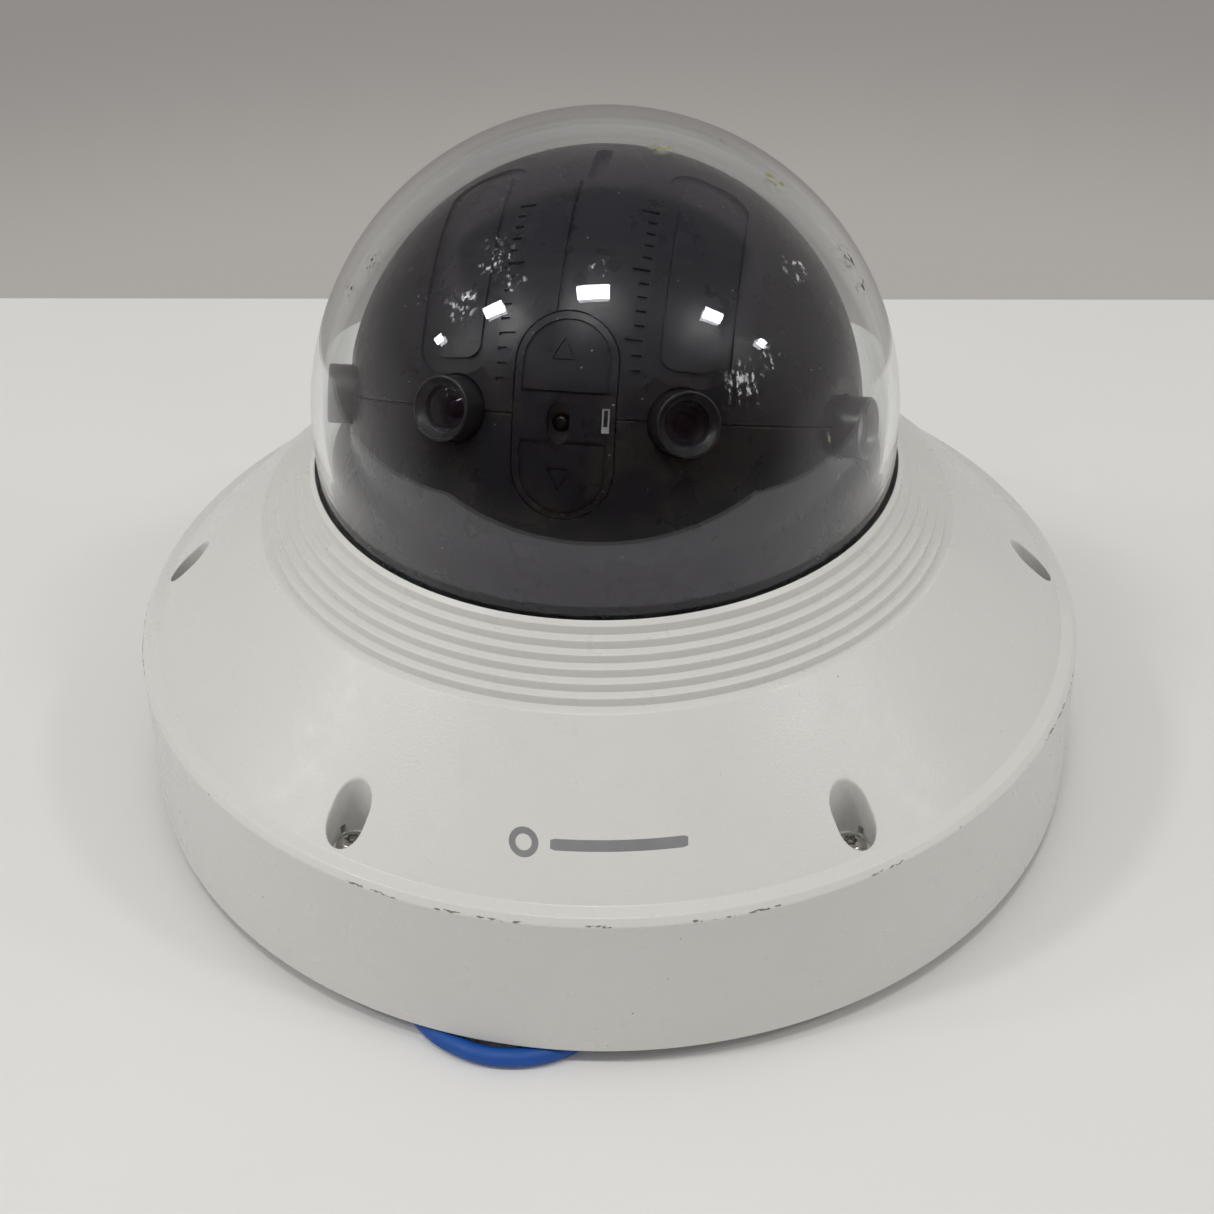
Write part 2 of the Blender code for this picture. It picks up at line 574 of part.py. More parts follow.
def make_lock_screw(mats):
    x, z = -1.0, -1.3
    piece = rod("tilt_lock_screw", (x, -51.5, z), (x, -53.4, z), 1.8, mats["steel"])
    shank = rod("shank", (x, -44.0, z), (x, -51.7, z), 0.95, sides=10)
    socket = block("slot", (x - 1.3, -54.5, z - 0.3), (x + 1.3, -52.6, z + 0.3))
    cross = block("cross", (x - 0.3, -54.5, z - 1.3), (x + 0.3, -52.6, z + 1.3))
    return cut(add(piece, shank), socket, cross)


# ---------------------------------------------------------------- network lead
def smooth_route(points, step):
    """Points a step apart along a smooth curve through the given ones (a centripetal spline)."""
    knots = [Vector(p) for p in points]
    ends = [knots[0] * 2 - knots[1]] + knots + [knots[-1] * 2 - knots[-2]]
    fine = []
    for p0, p1, p2, p3 in zip(ends, ends[1:], ends[2:], ends[3:]):
        t0 = 0.0
        t1 = t0 + math.sqrt((p1 - p0).length)
        t2 = t1 + math.sqrt((p2 - p1).length)
        t3 = t2 + math.sqrt((p3 - p2).length)
        for i in range(24):
            t = t1 + (t2 - t1) * i / 24
            a1 = p0 * ((t1 - t) / (t1 - t0)) + p1 * ((t - t0) / (t1 - t0))
            a2 = p1 * ((t2 - t) / (t2 - t1)) + p2 * ((t - t1) / (t2 - t1))
            a3 = p2 * ((t3 - t) / (t3 - t2)) + p3 * ((t - t2) / (t3 - t2))
            b1 = a1 * ((t2 - t) / (t2 - t0)) + a2 * ((t - t0) / (t2 - t0))
            b2 = a2 * ((t3 - t) / (t3 - t1)) + a3 * ((t - t1) / (t3 - t1))
            fine.append(b1 * ((t2 - t) / (t2 - t1)) + b2 * ((t - t1) / (t2 - t1)))
    fine.append(knots[-1])
    lengths = [0.0]
    for a, b in zip(fine, fine[1:]):
        lengths.append(lengths[-1] + (b - a).length)
    count = max(2, round(lengths[-1] / step))
    route = []
    k = 0
    for i in range(count + 1):
        want = lengths[-1] * i / count
        while k < len(fine) - 2 and lengths[k + 1] < want:
            k += 1
        share = (want - lengths[k]) / max(lengths[k + 1] - lengths[k], 1e-9)
        route.append(fine[k].lerp(fine[k + 1], share))
    return route


def lead_points():
    """Out of the boot, down to the surface, round the bend past the skirt, and back in to the plug."""
    cx, cy = BEND_CENTRE
    start_y = BOOT_XY[1] - BOOT_REACH - GAP
    points = [(BOOT_XY[0], start_y, BOOT_AXIS_Z), (BOOT_XY[0], start_y - 6, BOOT_AXIS_Z - 0.6),
              (BOOT_XY[0], start_y - 16, LEAD_FLOOR + 2.2), (BOOT_XY[0], cy + 1.5, LEAD_FLOOR + 0.25)]
    for deg in (-20, -45, -70, -90, -110, -135, -160):
        a = math.radians(deg)
        points.append((cx + BEND_R * math.cos(a), cy + BEND_R * math.sin(a), LEAD_FLOOR))
    points += [(cx - BEND_R, cy, LEAD_FLOOR), (-43.0, -66.0, LEAD_FLOOR), (-48.0, -38.0, LEAD_FLOOR),
               (-51.0, -10.0, LEAD_FLOOR), (-46.5, 17.0, LEAD_FLOOR), (-34.0, 37.0, LEAD_FLOOR),
               (-16.0, 49.0, LEAD_FLOOR), (0.0, 54.0, LEAD_FLOOR + 0.7), (14.0, 56.0, PLUG_Z - 0.15),
               (20.0, 56.5, PLUG_Z)]
    return points


def make_lead(mats):
    route = smooth_route(lead_points(), LEAD_STEP)
    curve = bpy.data.curves.new("network_lead", "CURVE")
    curve.dimensions = "3D"
    curve.bevel_depth = LEAD_R * MM
    curve.bevel_resolution = 2
    curve.use_fill_caps = True
    spline = curve.splines.new("POLY")
    spline.points.add(len(route) - 1)
    for point, place in zip(spline.points, route):
        point.co = (*(place * MM), 1.0)
    curve.materials.append(mats["blue_jacket"])
    obj = bpy.data.objects.new("network_lead", curve)
    bpy.context.scene.collection.objects.link(obj)
    return route


def make_boot(mats):
    """Elbow boot: a flanged neck through the case floor, turning to a tapered sleeve along -Y."""
    x, y = BOOT_XY
    neck = rod("cable_boot", (x, y, 5.2), (x, y, FLOOR_Z[1] + GAP + 0.4), 5.6, mats["rubber"])
    flange = rod("flange", (x, y, FLOOR_Z[1] + GAP), (x, y, FLOOR_Z[1] + GAP + 1.5), 7.6)
    collar = rod("collar", (x, y, 5.0), (x, y, FLOOR_Z[0] - GAP), 7.0)
    sleeve = rod("sleeve", (x, y, BOOT_AXIS_Z), (x, y - BOOT_REACH, BOOT_AXIS_Z), 3.4, end_radius=2.7)
    boot = add(neck, flange, collar, sleeve)
    mouth = rod("mouth", (x, y, FLOOR_Z[1] - 1), (x, y, FLOOR_Z[1] + 4), 2.2, sides=10)
    cut(boot, mouth)


def make_plug(mats, route):
    """Modular plug with a tapered boot and a latch, lying where the lead ends."""
    end = route[-1]
    way = (route[-1] - route[-2])
    way.z = 0.0
    way.normalize()
    boot_len, body_len, half_w, half_h = 9.0, 21.5, 5.85, 3.9
    z = PLUG_Z
    boot = rod("lead_plug", (GAP, 0, z), (boot_len + 1, 0, z), 2.7, mats["plug_plastic"], end_radius=3.8)
    body = block("body", (boot_len, -half_w, z - half_h), (boot_len + body_len, half_w, z + half_h))
    latch = block("latch", (boot_len + 4, -1.9, z + half_h - 0.2), (boot_len + 18, 1.9, z + half_h + 1.6))
    plug = add(boot, body, latch)
    turn = Matrix.Rotation(math.atan2(way.y, way.x), 4, "Z")
    apply_matrix(plug, Matrix.Translation((end.x * MM, end.y * MM, 0)) @ turn)


# ---------------------------------------------------------------- assembly
def parent_all(pieces, empty):
    for piece in pieces:
        piece.parent = empty


def build():
    clear_scene()
    mats = make_materials()
    make_top_cover(mats)
    make_bubble_group(mats)
    make_cover_screws(mats)
    make_lower_case(mats)
    make_main_board(mats)
    make_pan_base(mats)
    make_boot(mats)
    make_plug(mats, make_lead(mats))

    pan_axis = bpy.data.objects.new("pan_axis", None)
    tilt_axis = bpy.data.objects.new("tilt_axis", None)
    for empty in (pan_axis, tilt_axis):
        bpy.context.scene.collection.objects.link(empty)
    pan_axis.rotation_euler.z = math.radians(PAN_REST)
    tilt_axis.parent = pan_axis
    tilt_axis.location.z = BALL_Z * MM
    tilt_axis.rotation_euler.x = -math.radians(TILT_REST)

    parent_all(make_pan_group(mats), pan_axis)
    head = make_ball_shells(mats) + [make_sensor_frame(mats), make_lock_screw(mats)] + make_lens_modules(mats)
    parent_all(head, tilt_axis)
    smooth_all()
    bpy.context.view_layer.update()


build()
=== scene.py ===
import json
import random
from math import asin, atan2, cos, degrees, hypot, pi, radians, sin, sqrt, tan

import bmesh
import bpy
from mathutils import Matrix, Vector


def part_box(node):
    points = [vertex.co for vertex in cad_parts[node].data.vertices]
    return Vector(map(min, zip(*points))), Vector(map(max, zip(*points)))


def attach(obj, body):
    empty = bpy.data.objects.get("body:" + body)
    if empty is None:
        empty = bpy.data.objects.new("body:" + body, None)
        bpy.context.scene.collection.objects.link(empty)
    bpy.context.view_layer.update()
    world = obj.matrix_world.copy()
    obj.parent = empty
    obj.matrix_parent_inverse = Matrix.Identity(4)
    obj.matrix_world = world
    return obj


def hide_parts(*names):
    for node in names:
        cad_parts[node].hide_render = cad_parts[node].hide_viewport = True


# Looks of a panoramic dome camera: painted cover, clear bubble, and a glossy ball with four lenses.
# Lengths are millimetres and angles degrees. Each piece is scaled to metres when it is finished.

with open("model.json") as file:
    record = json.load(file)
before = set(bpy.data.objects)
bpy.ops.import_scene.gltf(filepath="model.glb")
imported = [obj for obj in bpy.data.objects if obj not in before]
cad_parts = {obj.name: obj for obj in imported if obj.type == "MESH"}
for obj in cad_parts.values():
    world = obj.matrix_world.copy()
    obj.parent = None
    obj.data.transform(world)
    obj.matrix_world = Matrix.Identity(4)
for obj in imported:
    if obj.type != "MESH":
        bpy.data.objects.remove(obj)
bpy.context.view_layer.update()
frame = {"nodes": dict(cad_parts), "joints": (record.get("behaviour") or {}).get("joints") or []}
MM = 0.001


def top_of(name):
    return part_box(name)[1] / MM


# --- cover, from the frame's boxes where they give a size ---
SKIRT_R = top_of("top_cover").x
SKIRT_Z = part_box("top_cover")[0].z / MM
OPENING_Z = top_of("top_cover").z
OPENING_R = 65.2
RIM_R, RIM_Z = 109.4, 38.95
BEVEL_R, BEVEL_Z = 105.6, 40.8
CONE_SLOPE = (OPENING_Z - BEVEL_Z) / (BEVEL_R - OPENING_R)
CONE_SLANT = sqrt(1 + CONE_SLOPE * CONE_SLOPE)
WALL = 2.8
SEAT_R, SEAT_Z = 72.2, 68.9
GROOVES = 6
FIRST_GROOVE_R = 66.4
GROOVE_PITCH = 2.06
SCREW_RING_R = 99.5
SCREW_AZ = [-150, -90, -30, 30, 90, 150]
SCREW_HOLE_R = 2.25
POCKET_HALF_W, POCKET_HALF_L = 4.1, 5.2
POCKET_WALL = 2.2
POCKET_FLOOR_Z = 36.9
POST_FOOT_Z = 33.6
SCREW_SEAT_Z = POCKET_FLOOR_Z + 0.3
POST_DEPTH = 1.5
MARK_R = 97.3
RING_OUT_R, RING_IN_R, RING_X = 2.9, 1.6, -14.5
BAR_X, BAR_STEP, BAR_STEPS = -9.3, 0.83, 32
PRINT_HALF = 0.03

# --- bubble, ball and lenses ---
TILT = frame["joints"][2]
BALL_Z = TILT["pos_m"][2] / MM
BUBBLE_R, BUBBLE_WALL = 64.6, 2.4
FLANGE_R = top_of("dome_bubble").x
FLANGE_Z = (64.5, 67.0)
CLAMP_SCREW_R = 75.3
CLAMP_SCREW_AZ = range(0, 360, 60)
SMALL_HOLE_R = 1.5
BALL_R, BALL_WALL = 56.6, 2.2
BALL_OPENING_DIST, BALL_OPENING_LEAN = 27.0, 32.0
LENS_AZ = [-69.0, -23.0, 23.0, 69.0]
LENS_TIP = 60.8
BARREL_R = 6.3
FACET_DIST = 55.75
CAPSULE_HALF_W, CAPSULE_HALF_H = 9.75, 19.6
LOCK_HOLE = Matrix.Translation((-1.0, 0.0, -1.3))
LOBE_HALF_W = 8.1
LINE_HALF_W = 0.34
SCALE_X = 13.7
LOWEST_LENS_PLANE = 5.0       # above level, at the tilt joint's lower stop

# --- base and its board ---
ROOT_Z = 17.5                 # posts start inside the floor's casting
FOOT_AZ, FOOT_RING_R = (60, 180, 300), 79.0
BOARD_SCREW_AZ, BOARD_SCREW_R = (35, 125, 235, 325), 78.0
BOARD_TOP_Z = 23.65

# --- network lead, its boot and its plug ---
LEAD_R = 2.0
LEAD_CLEAR = 0.03             # keeps the curve's facets inside the CAD lead
LEAD_FLOOR = 2.05
BOOT_XY = (5.28, -32.0)
BOOT_AXIS_Z = 8.5
BOOT_REACH = 27.0
BEND_CENTRE = (-18.12, -87.04)
BEND_R = 23.4
PLUG_Z = 4.2

# --- camera, table and ceiling lights, in a room turned a little from the object ---
ROOM_TURN = 1.7
CAMERA_PLACE = (-0.45, -336.0, 285.7)
CAMERA_DOWN = 36.99
CAMERA_ROLL = -1.03
CAMERA_LENS = 51.66
TABLE_LOW, TABLE_HIGH = (-410, -300, -20), (410, 227, 0)
TABLE_TURN = -0.7
CEILING_Z = 2000
PANEL_SIZE = (390, 200)
PANELS = [(-120, -625, 9.2), (-1540, -550, 13.0), (1590, -720, 10.3), (-3330, -480, 15.5),
          (3225, -810, 11.5)]    # x, y and watts

# --- marks on the paint: azimuth and half width of each worn stretch ---
WORN = [(-80, 12), (-24, 5), (-12, 7), (0, 2), (14, 7), (31, 3), (66, 10), (150, 10), (-128, 8)]

# --- marks on the bubble: azimuth, elevation and reach ---
SCUFFS = [(-31, 54, 6.0), (-34, 44, 5.0), (-22, 50, 3.5), (30, 31, 6.5), (38, 33, 4.0), (57, 45, 5.0),
          (1, 54, 3.0), (-36, 13, 2.5), (150, 35, 9.0), (-140, 50, 8.0), (-100, 28, 6.0)]
SMUDGES = [(-72, 41, 4.0), (-74, 34, 3.0), (81, 38, 4.5), (79, 32, 3.5), (-165, 40, 4.0)]
STREAKS = [(62, 78, 4.0), (108, 68, 4.0), (85, 57, 5.0), (47, 15, 3.5)]

LOOKS = {}                    # every material by its name


def rotation(angle, axis):
    return Matrix.Rotation(radians(angle), 4, axis)


# --- room, camera and light ---
def linked(name, data):
    """A new object of this data in the scene."""
    made = bpy.data.objects.new(name, data)
    bpy.context.scene.collection.objects.link(made)
    return made


def place_in_room(obj, place, turn=Matrix()):
    obj.matrix_world = rotation(ROOM_TURN, "Z") @ Matrix.Translation(Vector(place) * MM) @ turn


def make_camera():
    data = bpy.data.cameras.new("camera")
    data.lens = CAMERA_LENS
    data.clip_start = 0.01
    camera = linked("camera", data)
    place_in_room(camera, CAMERA_PLACE, rotation(90 - CAMERA_DOWN, "X") @ rotation(CAMERA_ROLL, "Z"))
    bpy.context.scene.camera = camera


def make_lights():
    for i, (x, y, watts) in enumerate(PANELS):
        data = bpy.data.lights.new(f"panel_{i}", "AREA")
        data.shape = "RECTANGLE"
        data.size, data.size_y = PANEL_SIZE[0] * MM, PANEL_SIZE[1] * MM
        data.energy = watts
        data.color = (1.0, 0.99, 0.97)
        place_in_room(linked(f"panel_{i}", data), (x, y, CEILING_Z))


class Shading:
    """A node tree, with short names for the sums that make up its colours."""

    def __init__(self, owner):
        owner.use_nodes = True
        self.tree = owner.node_tree

    def link(self, value, socket):
        """Feed a socket with another node's output, or set it to a value."""
        if isinstance(value, bpy.types.NodeSocket):
            self.tree.links.new(value, socket)
        else:
            socket.default_value = value

    def node(self, kind, inputs=None, **settings):
        made = self.tree.nodes.new(kind)
        for key, value in settings.items():
            setattr(made, key, value)
        for key, value in (inputs or {}).items():
            self.link(value, made.inputs[key])
        return made

    def maths(self, operation, a, b=0.0):
        return self.node("ShaderNodeMath", {0: a, 1: b}, operation=operation).outputs[0]

    def add(self, a, b):
        return self.maths("ADD", a, b)

    def less(self, a, b):
        return self.maths("SUBTRACT", a, b)

    def times(self, a, b):
        return self.maths("MULTIPLY", a, b)

    def most(self, a, b):
        return self.maths("MAXIMUM", a, b)

    def length(self, a, b):
        return self.maths("SQRT", self.add(self.times(a, a), self.times(b, b)))

    def fade(self, value, start, end, low=0.0, high=1.0):
        """A smooth step from low to high as value goes from start to end."""
        sizes = {"Value": value, "From Min": start, "From Max": end, "To Min": low, "To Max": high}
        return self.node("ShaderNodeMapRange", sizes, interpolation_type="SMOOTHSTEP").outputs["Result"]

    def blend(self, share, a, b):
        """Mix two colours; share 0 gives a."""
        made = self.node("ShaderNodeMix", data_type="RGBA")
        for i, value in ((0, share), (6, a), (7, b)):
            self.link((*value, 1.0) if isinstance(value, tuple) else value, made.inputs[i])
        return made.outputs[2]

    def noise_of(self, coords, scale, detail, roughness=0.5):
        sizes = {"Vector": coords, "Scale": scale, "Detail": detail, "Roughness": roughness}
        return self.node("ShaderNodeTexNoise", sizes).outputs[0]


def surface_light(room, x, y, z):
    """Soft light for the surfaces: dim from the front, and brighter from the sides and from above."""
    light = room.blend(room.fade(y, -0.45, 0.25), (0.165, 0.150, 0.143), (0.33, 0.32, 0.305))
    light = room.blend(room.fade(x, -0.1, -0.9), light, (0.98, 0.96, 0.95))
    light = room.blend(room.fade(x, 0.2, 0.9), light, (0.80, 0.785, 0.775))
    return room.blend(room.fade(z, 0.20, 0.75), light, (0.58, 0.572, 0.562))


def reflected_room(room, way, x, y, z):
    """What the gloss reflects: a dim cluttered side behind the camera, a pale wall, and a lit ceiling."""
    clutter = room.fade(room.noise_of(way, 3.2, 3.0), 0.50, 0.60)
    behind = room.blend(clutter, (0.016, 0.008, 0.010), (0.070, 0.050, 0.034))
    wall = room.blend(room.fade(z, -0.29, -0.46), (0.262, 0.248, 0.238), (0.345, 0.328, 0.308))
    low = room.fade(z, 0.15, -0.05)
    wall = room.blend(room.times(room.fade(x, -0.12, -0.5), low), wall, (0.335, 0.318, 0.300))
    wall = room.blend(room.times(room.fade(x, 0.12, 0.5), low), wall, (0.385, 0.368, 0.350))
    dim = room.times(room.fade(x, 0.0, -0.3), room.fade(z, 0.1, 0.3))
    wall = room.blend(dim, wall, (0.165, 0.152, 0.147))
    sides = room.blend(room.fade(y, -0.55, 0.05), behind, wall)
    high = room.most(z, 0.02)
    aside = room.maths("ABSOLUTE", room.maths("DIVIDE", x, high))
    beyond = room.maths("DIVIDE", y, high)
    inside = room.times(room.fade(aside, 1.15, 0.95), room.fade(beyond, 0.62, 0.50))
    ceiling = room.blend(inside, (0.285, 0.262, 0.272), (0.078, 0.078, 0.095))
    return room.blend(room.fade(z, 0.56, 0.66), sides, ceiling)


def make_world():
    """Three rooms in one: a plain wall for the camera, a soft light for surfaces, and one for reflections."""
    world = bpy.data.worlds.new("room")
    bpy.context.scene.world = world
    room = Shading(world)
    way = room.node("ShaderNodeTexCoord").outputs["Generated"]
    x, y, z = room.node("ShaderNodeSeparateXYZ", {0: way}).outputs
    rays = room.node("ShaderNodeLightPath").outputs
    colour = room.blend(rays["Is Diffuse Ray"], reflected_room(room, way, x, y, z),
                        surface_light(room, x, y, z))
    wall = room.blend(room.fade(z, -0.29, -0.43), (0.280, 0.266, 0.254), (0.400, 0.381, 0.358))
    colour = room.blend(rays["Is Camera Ray"], colour, wall)
    room.link(colour, room.tree.nodes["Background"].inputs["Color"])


# --- materials ---
class Finish(Shading):
    """A Principled material, its shader and the object's own coordinates in metres."""

    def __init__(self, name, colour, roughness, **sockets):
        LOOKS[name] = bpy.data.materials.new(name)
        super().__init__(LOOKS[name])
        self.shader = self.tree.nodes["Principled BSDF"]
        self.feed(Base_Color=(*colour, 1.0), Roughness=roughness, **sockets)
        self.coords = self.node("ShaderNodeTexCoord").outputs["Object"]

    def feed(self, **sockets):
        """Set the shader's sockets, each named with _ for a space."""
        for key, value in sockets.items():
            self.link(value, self.shader.inputs[key.replace("_", " ")])

    def noise(self, size, detail=2.0, roughness=0.5, stretch=None, coords=None):
        """Noise with features of about a size in millimetres, stretched along the axes if asked."""
        coords = self.coords if coords is None else coords
        if stretch:
            scaled = self.node("ShaderNodeVectorMath", {0: coords, 1: stretch}, operation="MULTIPLY")
            coords = scaled.outputs[0]
        return self.noise_of(coords, 1 / (size * MM), detail, roughness)

    def bump(self, height, depth):
        self.feed(Normal=self.node("ShaderNodeBump", {"Height": height, "Distance": depth * MM}).outputs[0])

    def pass_lamp_light(self, tint):
        """Lamps shine through, so that glass throws a faint shadow."""
        clear = self.node("ShaderNodeBsdfTransparent", {"Color": tint}).outputs[0]
        shadow = self.node("ShaderNodeLightPath").outputs["Is Shadow Ray"]
        mix = self.node("ShaderNodeMixShader", {0: shadow, 1: self.shader.outputs[0], 2: clear})
        self.link(mix.outputs[0], self.tree.nodes["Material Output"].inputs["Surface"])


def plain_finish(name, colour, roughness, grain=0.5, grain_depth=0.02, mottle=8.0, contrast=0.12,
                 stretch=None, **sockets):
    """A moulded, cast or machined finish: mottled colour, uneven roughness and a fine grain."""
    look = Finish(name, colour, roughness, **sockets)
    broad = look.noise(mottle, 3.0)
    fine = look.noise(grain, 2.0, 0.6, stretch)
    dark = tuple(c * (1 - contrast) for c in colour)
    light = tuple(min(1.0, c * (1 + contrast)) for c in colour)
    rough = look.fade(look.noise(mottle * 0.4, 3.0), 0.3, 0.7, roughness * 0.85, min(1.0, roughness * 1.2))
    look.feed(Base_Color=look.blend(broad, dark, light), Roughness=rough)
    look.bump(fine, grain_depth)


def cover_paint():
    """White powder paint on cast metal, worn through along the rim and the foot of the skirt."""
    look = Finish("white_paint", (0.62, 0.62, 0.595), 0.42)
    x, y, z = look.node("ShaderNodeSeparateXYZ", {0: look.coords}).outputs
    radius = look.length(x, y)
    azimuth = look.maths("ARCTAN2", x, look.times(y, -1.0))

    def near_ring(ring_r, ring_z, reach, core):
        """1 within core of a level circle, down to 0 at the reach."""
        away = look.length(look.less(radius, ring_r * MM), look.less(z, ring_z * MM))
        return look.fade(away, reach * MM, core * MM)

    worn = 0.80
    for middle, half in WORN:
        apart = look.maths("ABSOLUTE", look.less(azimuth, radians(middle)))
        worn = look.most(worn, look.fade(apart, radians(half), radians(half * 0.6)))
    edge = look.most(near_ring(RIM_R - 0.15, RIM_Z + 0.15, 0.60, 0.15),
                     look.times(near_ring(SKIRT_R, SKIRT_Z, 1.1, 0.2), 0.88))
    lip = near_ring(OPENING_R + 0.4, OPENING_Z - 0.3, 1.0, 0.2)
    along = look.node("ShaderNodeCombineXYZ", {0: look.times(azimuth, RIM_R * MM * 0.33), 1: radius, 2: z})
    rubbed = look.noise(0.6, 5.0, 0.65, coords=along.outputs[0])
    chips = look.fade(look.times(look.times(edge, worn), rubbed), 0.52, 0.55)
    dirt_zone = look.most(look.fade(look.noise(30.0), 0.50, 0.62), lip)
    flecks = look.times(look.fade(look.noise(1.0, 1.0), 0.80, 0.82), dirt_zone)
    bare = look.most(chips, flecks)
    tone = look.blend(look.noise(34.0, 3.0), (0.575, 0.572, 0.55), (0.615, 0.612, 0.59))
    metal = look.blend(look.noise(0.9), (0.11, 0.09, 0.07), (0.33, 0.30, 0.26))
    look.feed(Base_Color=look.blend(bare, tone, metal),
              Roughness=look.fade(look.noise(6.0, 3.0), 0.3, 0.7, 0.27, 0.37))
    grain = look.times(look.noise(0.6, 3.0, 0.6), 0.7)
    look.bump(look.less(grain, bare), 0.06)


def marks_at(look, places, texture):
    """How much of a mark there is: the texture within reach of its places on the bubble."""
    total = 0.0
    for azimuth, elevation, reach in places:
        rise = radians(elevation)
        spot = around(azimuth, BUBBLE_R * cos(rise), BALL_Z + BUBBLE_R * sin(rise)) * MM
        apart = look.node("ShaderNodeVectorMath", {0: look.coords, 1: spot}, operation="DISTANCE")
        total = look.most(total, look.fade(apart.outputs["Value"], reach * MM, reach * 0.35 * MM))
    return look.times(total, texture)


def clear_dome():
    """Polycarbonate with rubbed patches, dark smudges and stale streaks."""
    body = (0.97, 0.98, 0.98)
    look = Finish("clear_plastic", body, 0.0, IOR=1.5, Transmission_Weight=1.0,
                  Specular_Tint=(0.94, 0.90, 1.0, 1.0))
    strokes = look.noise(1.5, 3.0, 0.6, (1.5, 1.2, 0.24))
    scuffs = marks_at(look, SCUFFS, look.fade(strokes, 0.54, 0.66))
    smudges = marks_at(look, SMUDGES, look.fade(look.noise(1.8, 3.0, 0.6), 0.50, 0.60))
    streaks = marks_at(look, STREAKS, look.fade(look.noise(3.0, stretch=(1, 1, 0.5)), 0.5, 0.58))
    specks = look.times(look.fade(look.noise(1.1, 1.0), 0.815, 0.825), 0.7)
    white = look.most(look.times(scuffs, 0.9), specks)
    tint = look.blend(white, body, (0.88, 0.88, 0.88))
    tint = look.blend(smudges, tint, (0.045, 0.036, 0.030))
    tint = look.blend(streaks, tint, (0.36, 0.34, 0.08))
    marks = look.most(look.times(white, 0.55), look.times(smudges, 0.85))
    marks = look.most(marks, look.times(streaks, 0.5))
    smear = look.fade(look.noise(16.0), 0.5, 0.8, 0.0, 0.012)
    look.feed(Base_Color=tint, Transmission_Weight=look.fade(marks, 0.0, 1.0, 1.0, 0.0),
              Roughness=look.add(smear, look.times(marks, 0.5)))
    look.pass_lamp_light((0.93, 0.94, 0.94, 1.0))


def ball_gloss():
    """Black plastic with a soft gloss, dust specks and a faint greasy film."""
    look = Finish("ball_gloss", (0.011, 0.011, 0.012), 0.3, Specular_IOR_Level=0.22)
    dust = look.fade(look.noise(0.7, 1.0), 0.84, 0.86)
    tone = look.blend(look.noise(14.0, 3.0), (0.009, 0.009, 0.011), (0.015, 0.014, 0.016))
    film = look.fade(look.noise(11.0, 4.0, 0.6), 0.35, 0.75, 0.26, 0.38)
    look.feed(Base_Color=look.blend(dust, tone, (0.12, 0.12, 0.13)),
              Roughness=look.add(film, look.times(dust, 0.4)))
    look.bump(look.noise(0.5), 0.004)


def lens_coating():
    """Coated front glass with a faint violet tint."""
    look = Finish("lens_glass", (0.62, 0.58, 0.64), 0.0, IOR=1.5, Transmission_Weight=1.0)
    look.feed(Roughness=look.fade(look.noise(3.0, 3.0), 0.5, 0.8, 0.0, 0.04))
    look.pass_lamp_light((0.85, 0.82, 0.88, 1.0))


def circuit_mask():
    """Green solder mask over copper tracks."""
    look = Finish("circuit_board", (0.01, 0.10, 0.045), 0.32)
    black, white = (0, 0, 0, 1), (1, 1, 1, 1)
    tracks = look.node("ShaderNodeTexBrick", {"Vector": look.coords, "Scale": 160.0, "Mortar Size": 0.018,
                                              "Color1": black, "Color2": black, "Mortar": white})
    line = look.times(tracks.outputs["Fac"], look.fade(look.noise(7.0), 0.42, 0.5))
    pads = look.node("ShaderNodeTexVoronoi", {"Vector": look.coords, "Scale": 420.0})
    dots = look.fade(pads.outputs["Distance"], 0.20, 0.16)
    tone = look.blend(line, (0.006, 0.075, 0.034), (0.018, 0.16, 0.07))
    look.feed(Base_Color=look.blend(dots, tone, (0.55, 0.45, 0.22)))
    look.bump(look.add(line, dots), 0.03)


def table_top():
    look = Finish("table_top", (0.67, 0.67, 0.66), 0.5)
    cloud = look.noise(160.0, 4.0, 0.55)
    look.feed(Base_Color=look.blend(cloud, (0.665, 0.665, 0.655), (0.725, 0.725, 0.71)))
    look.bump(look.noise(2.0), 0.02)


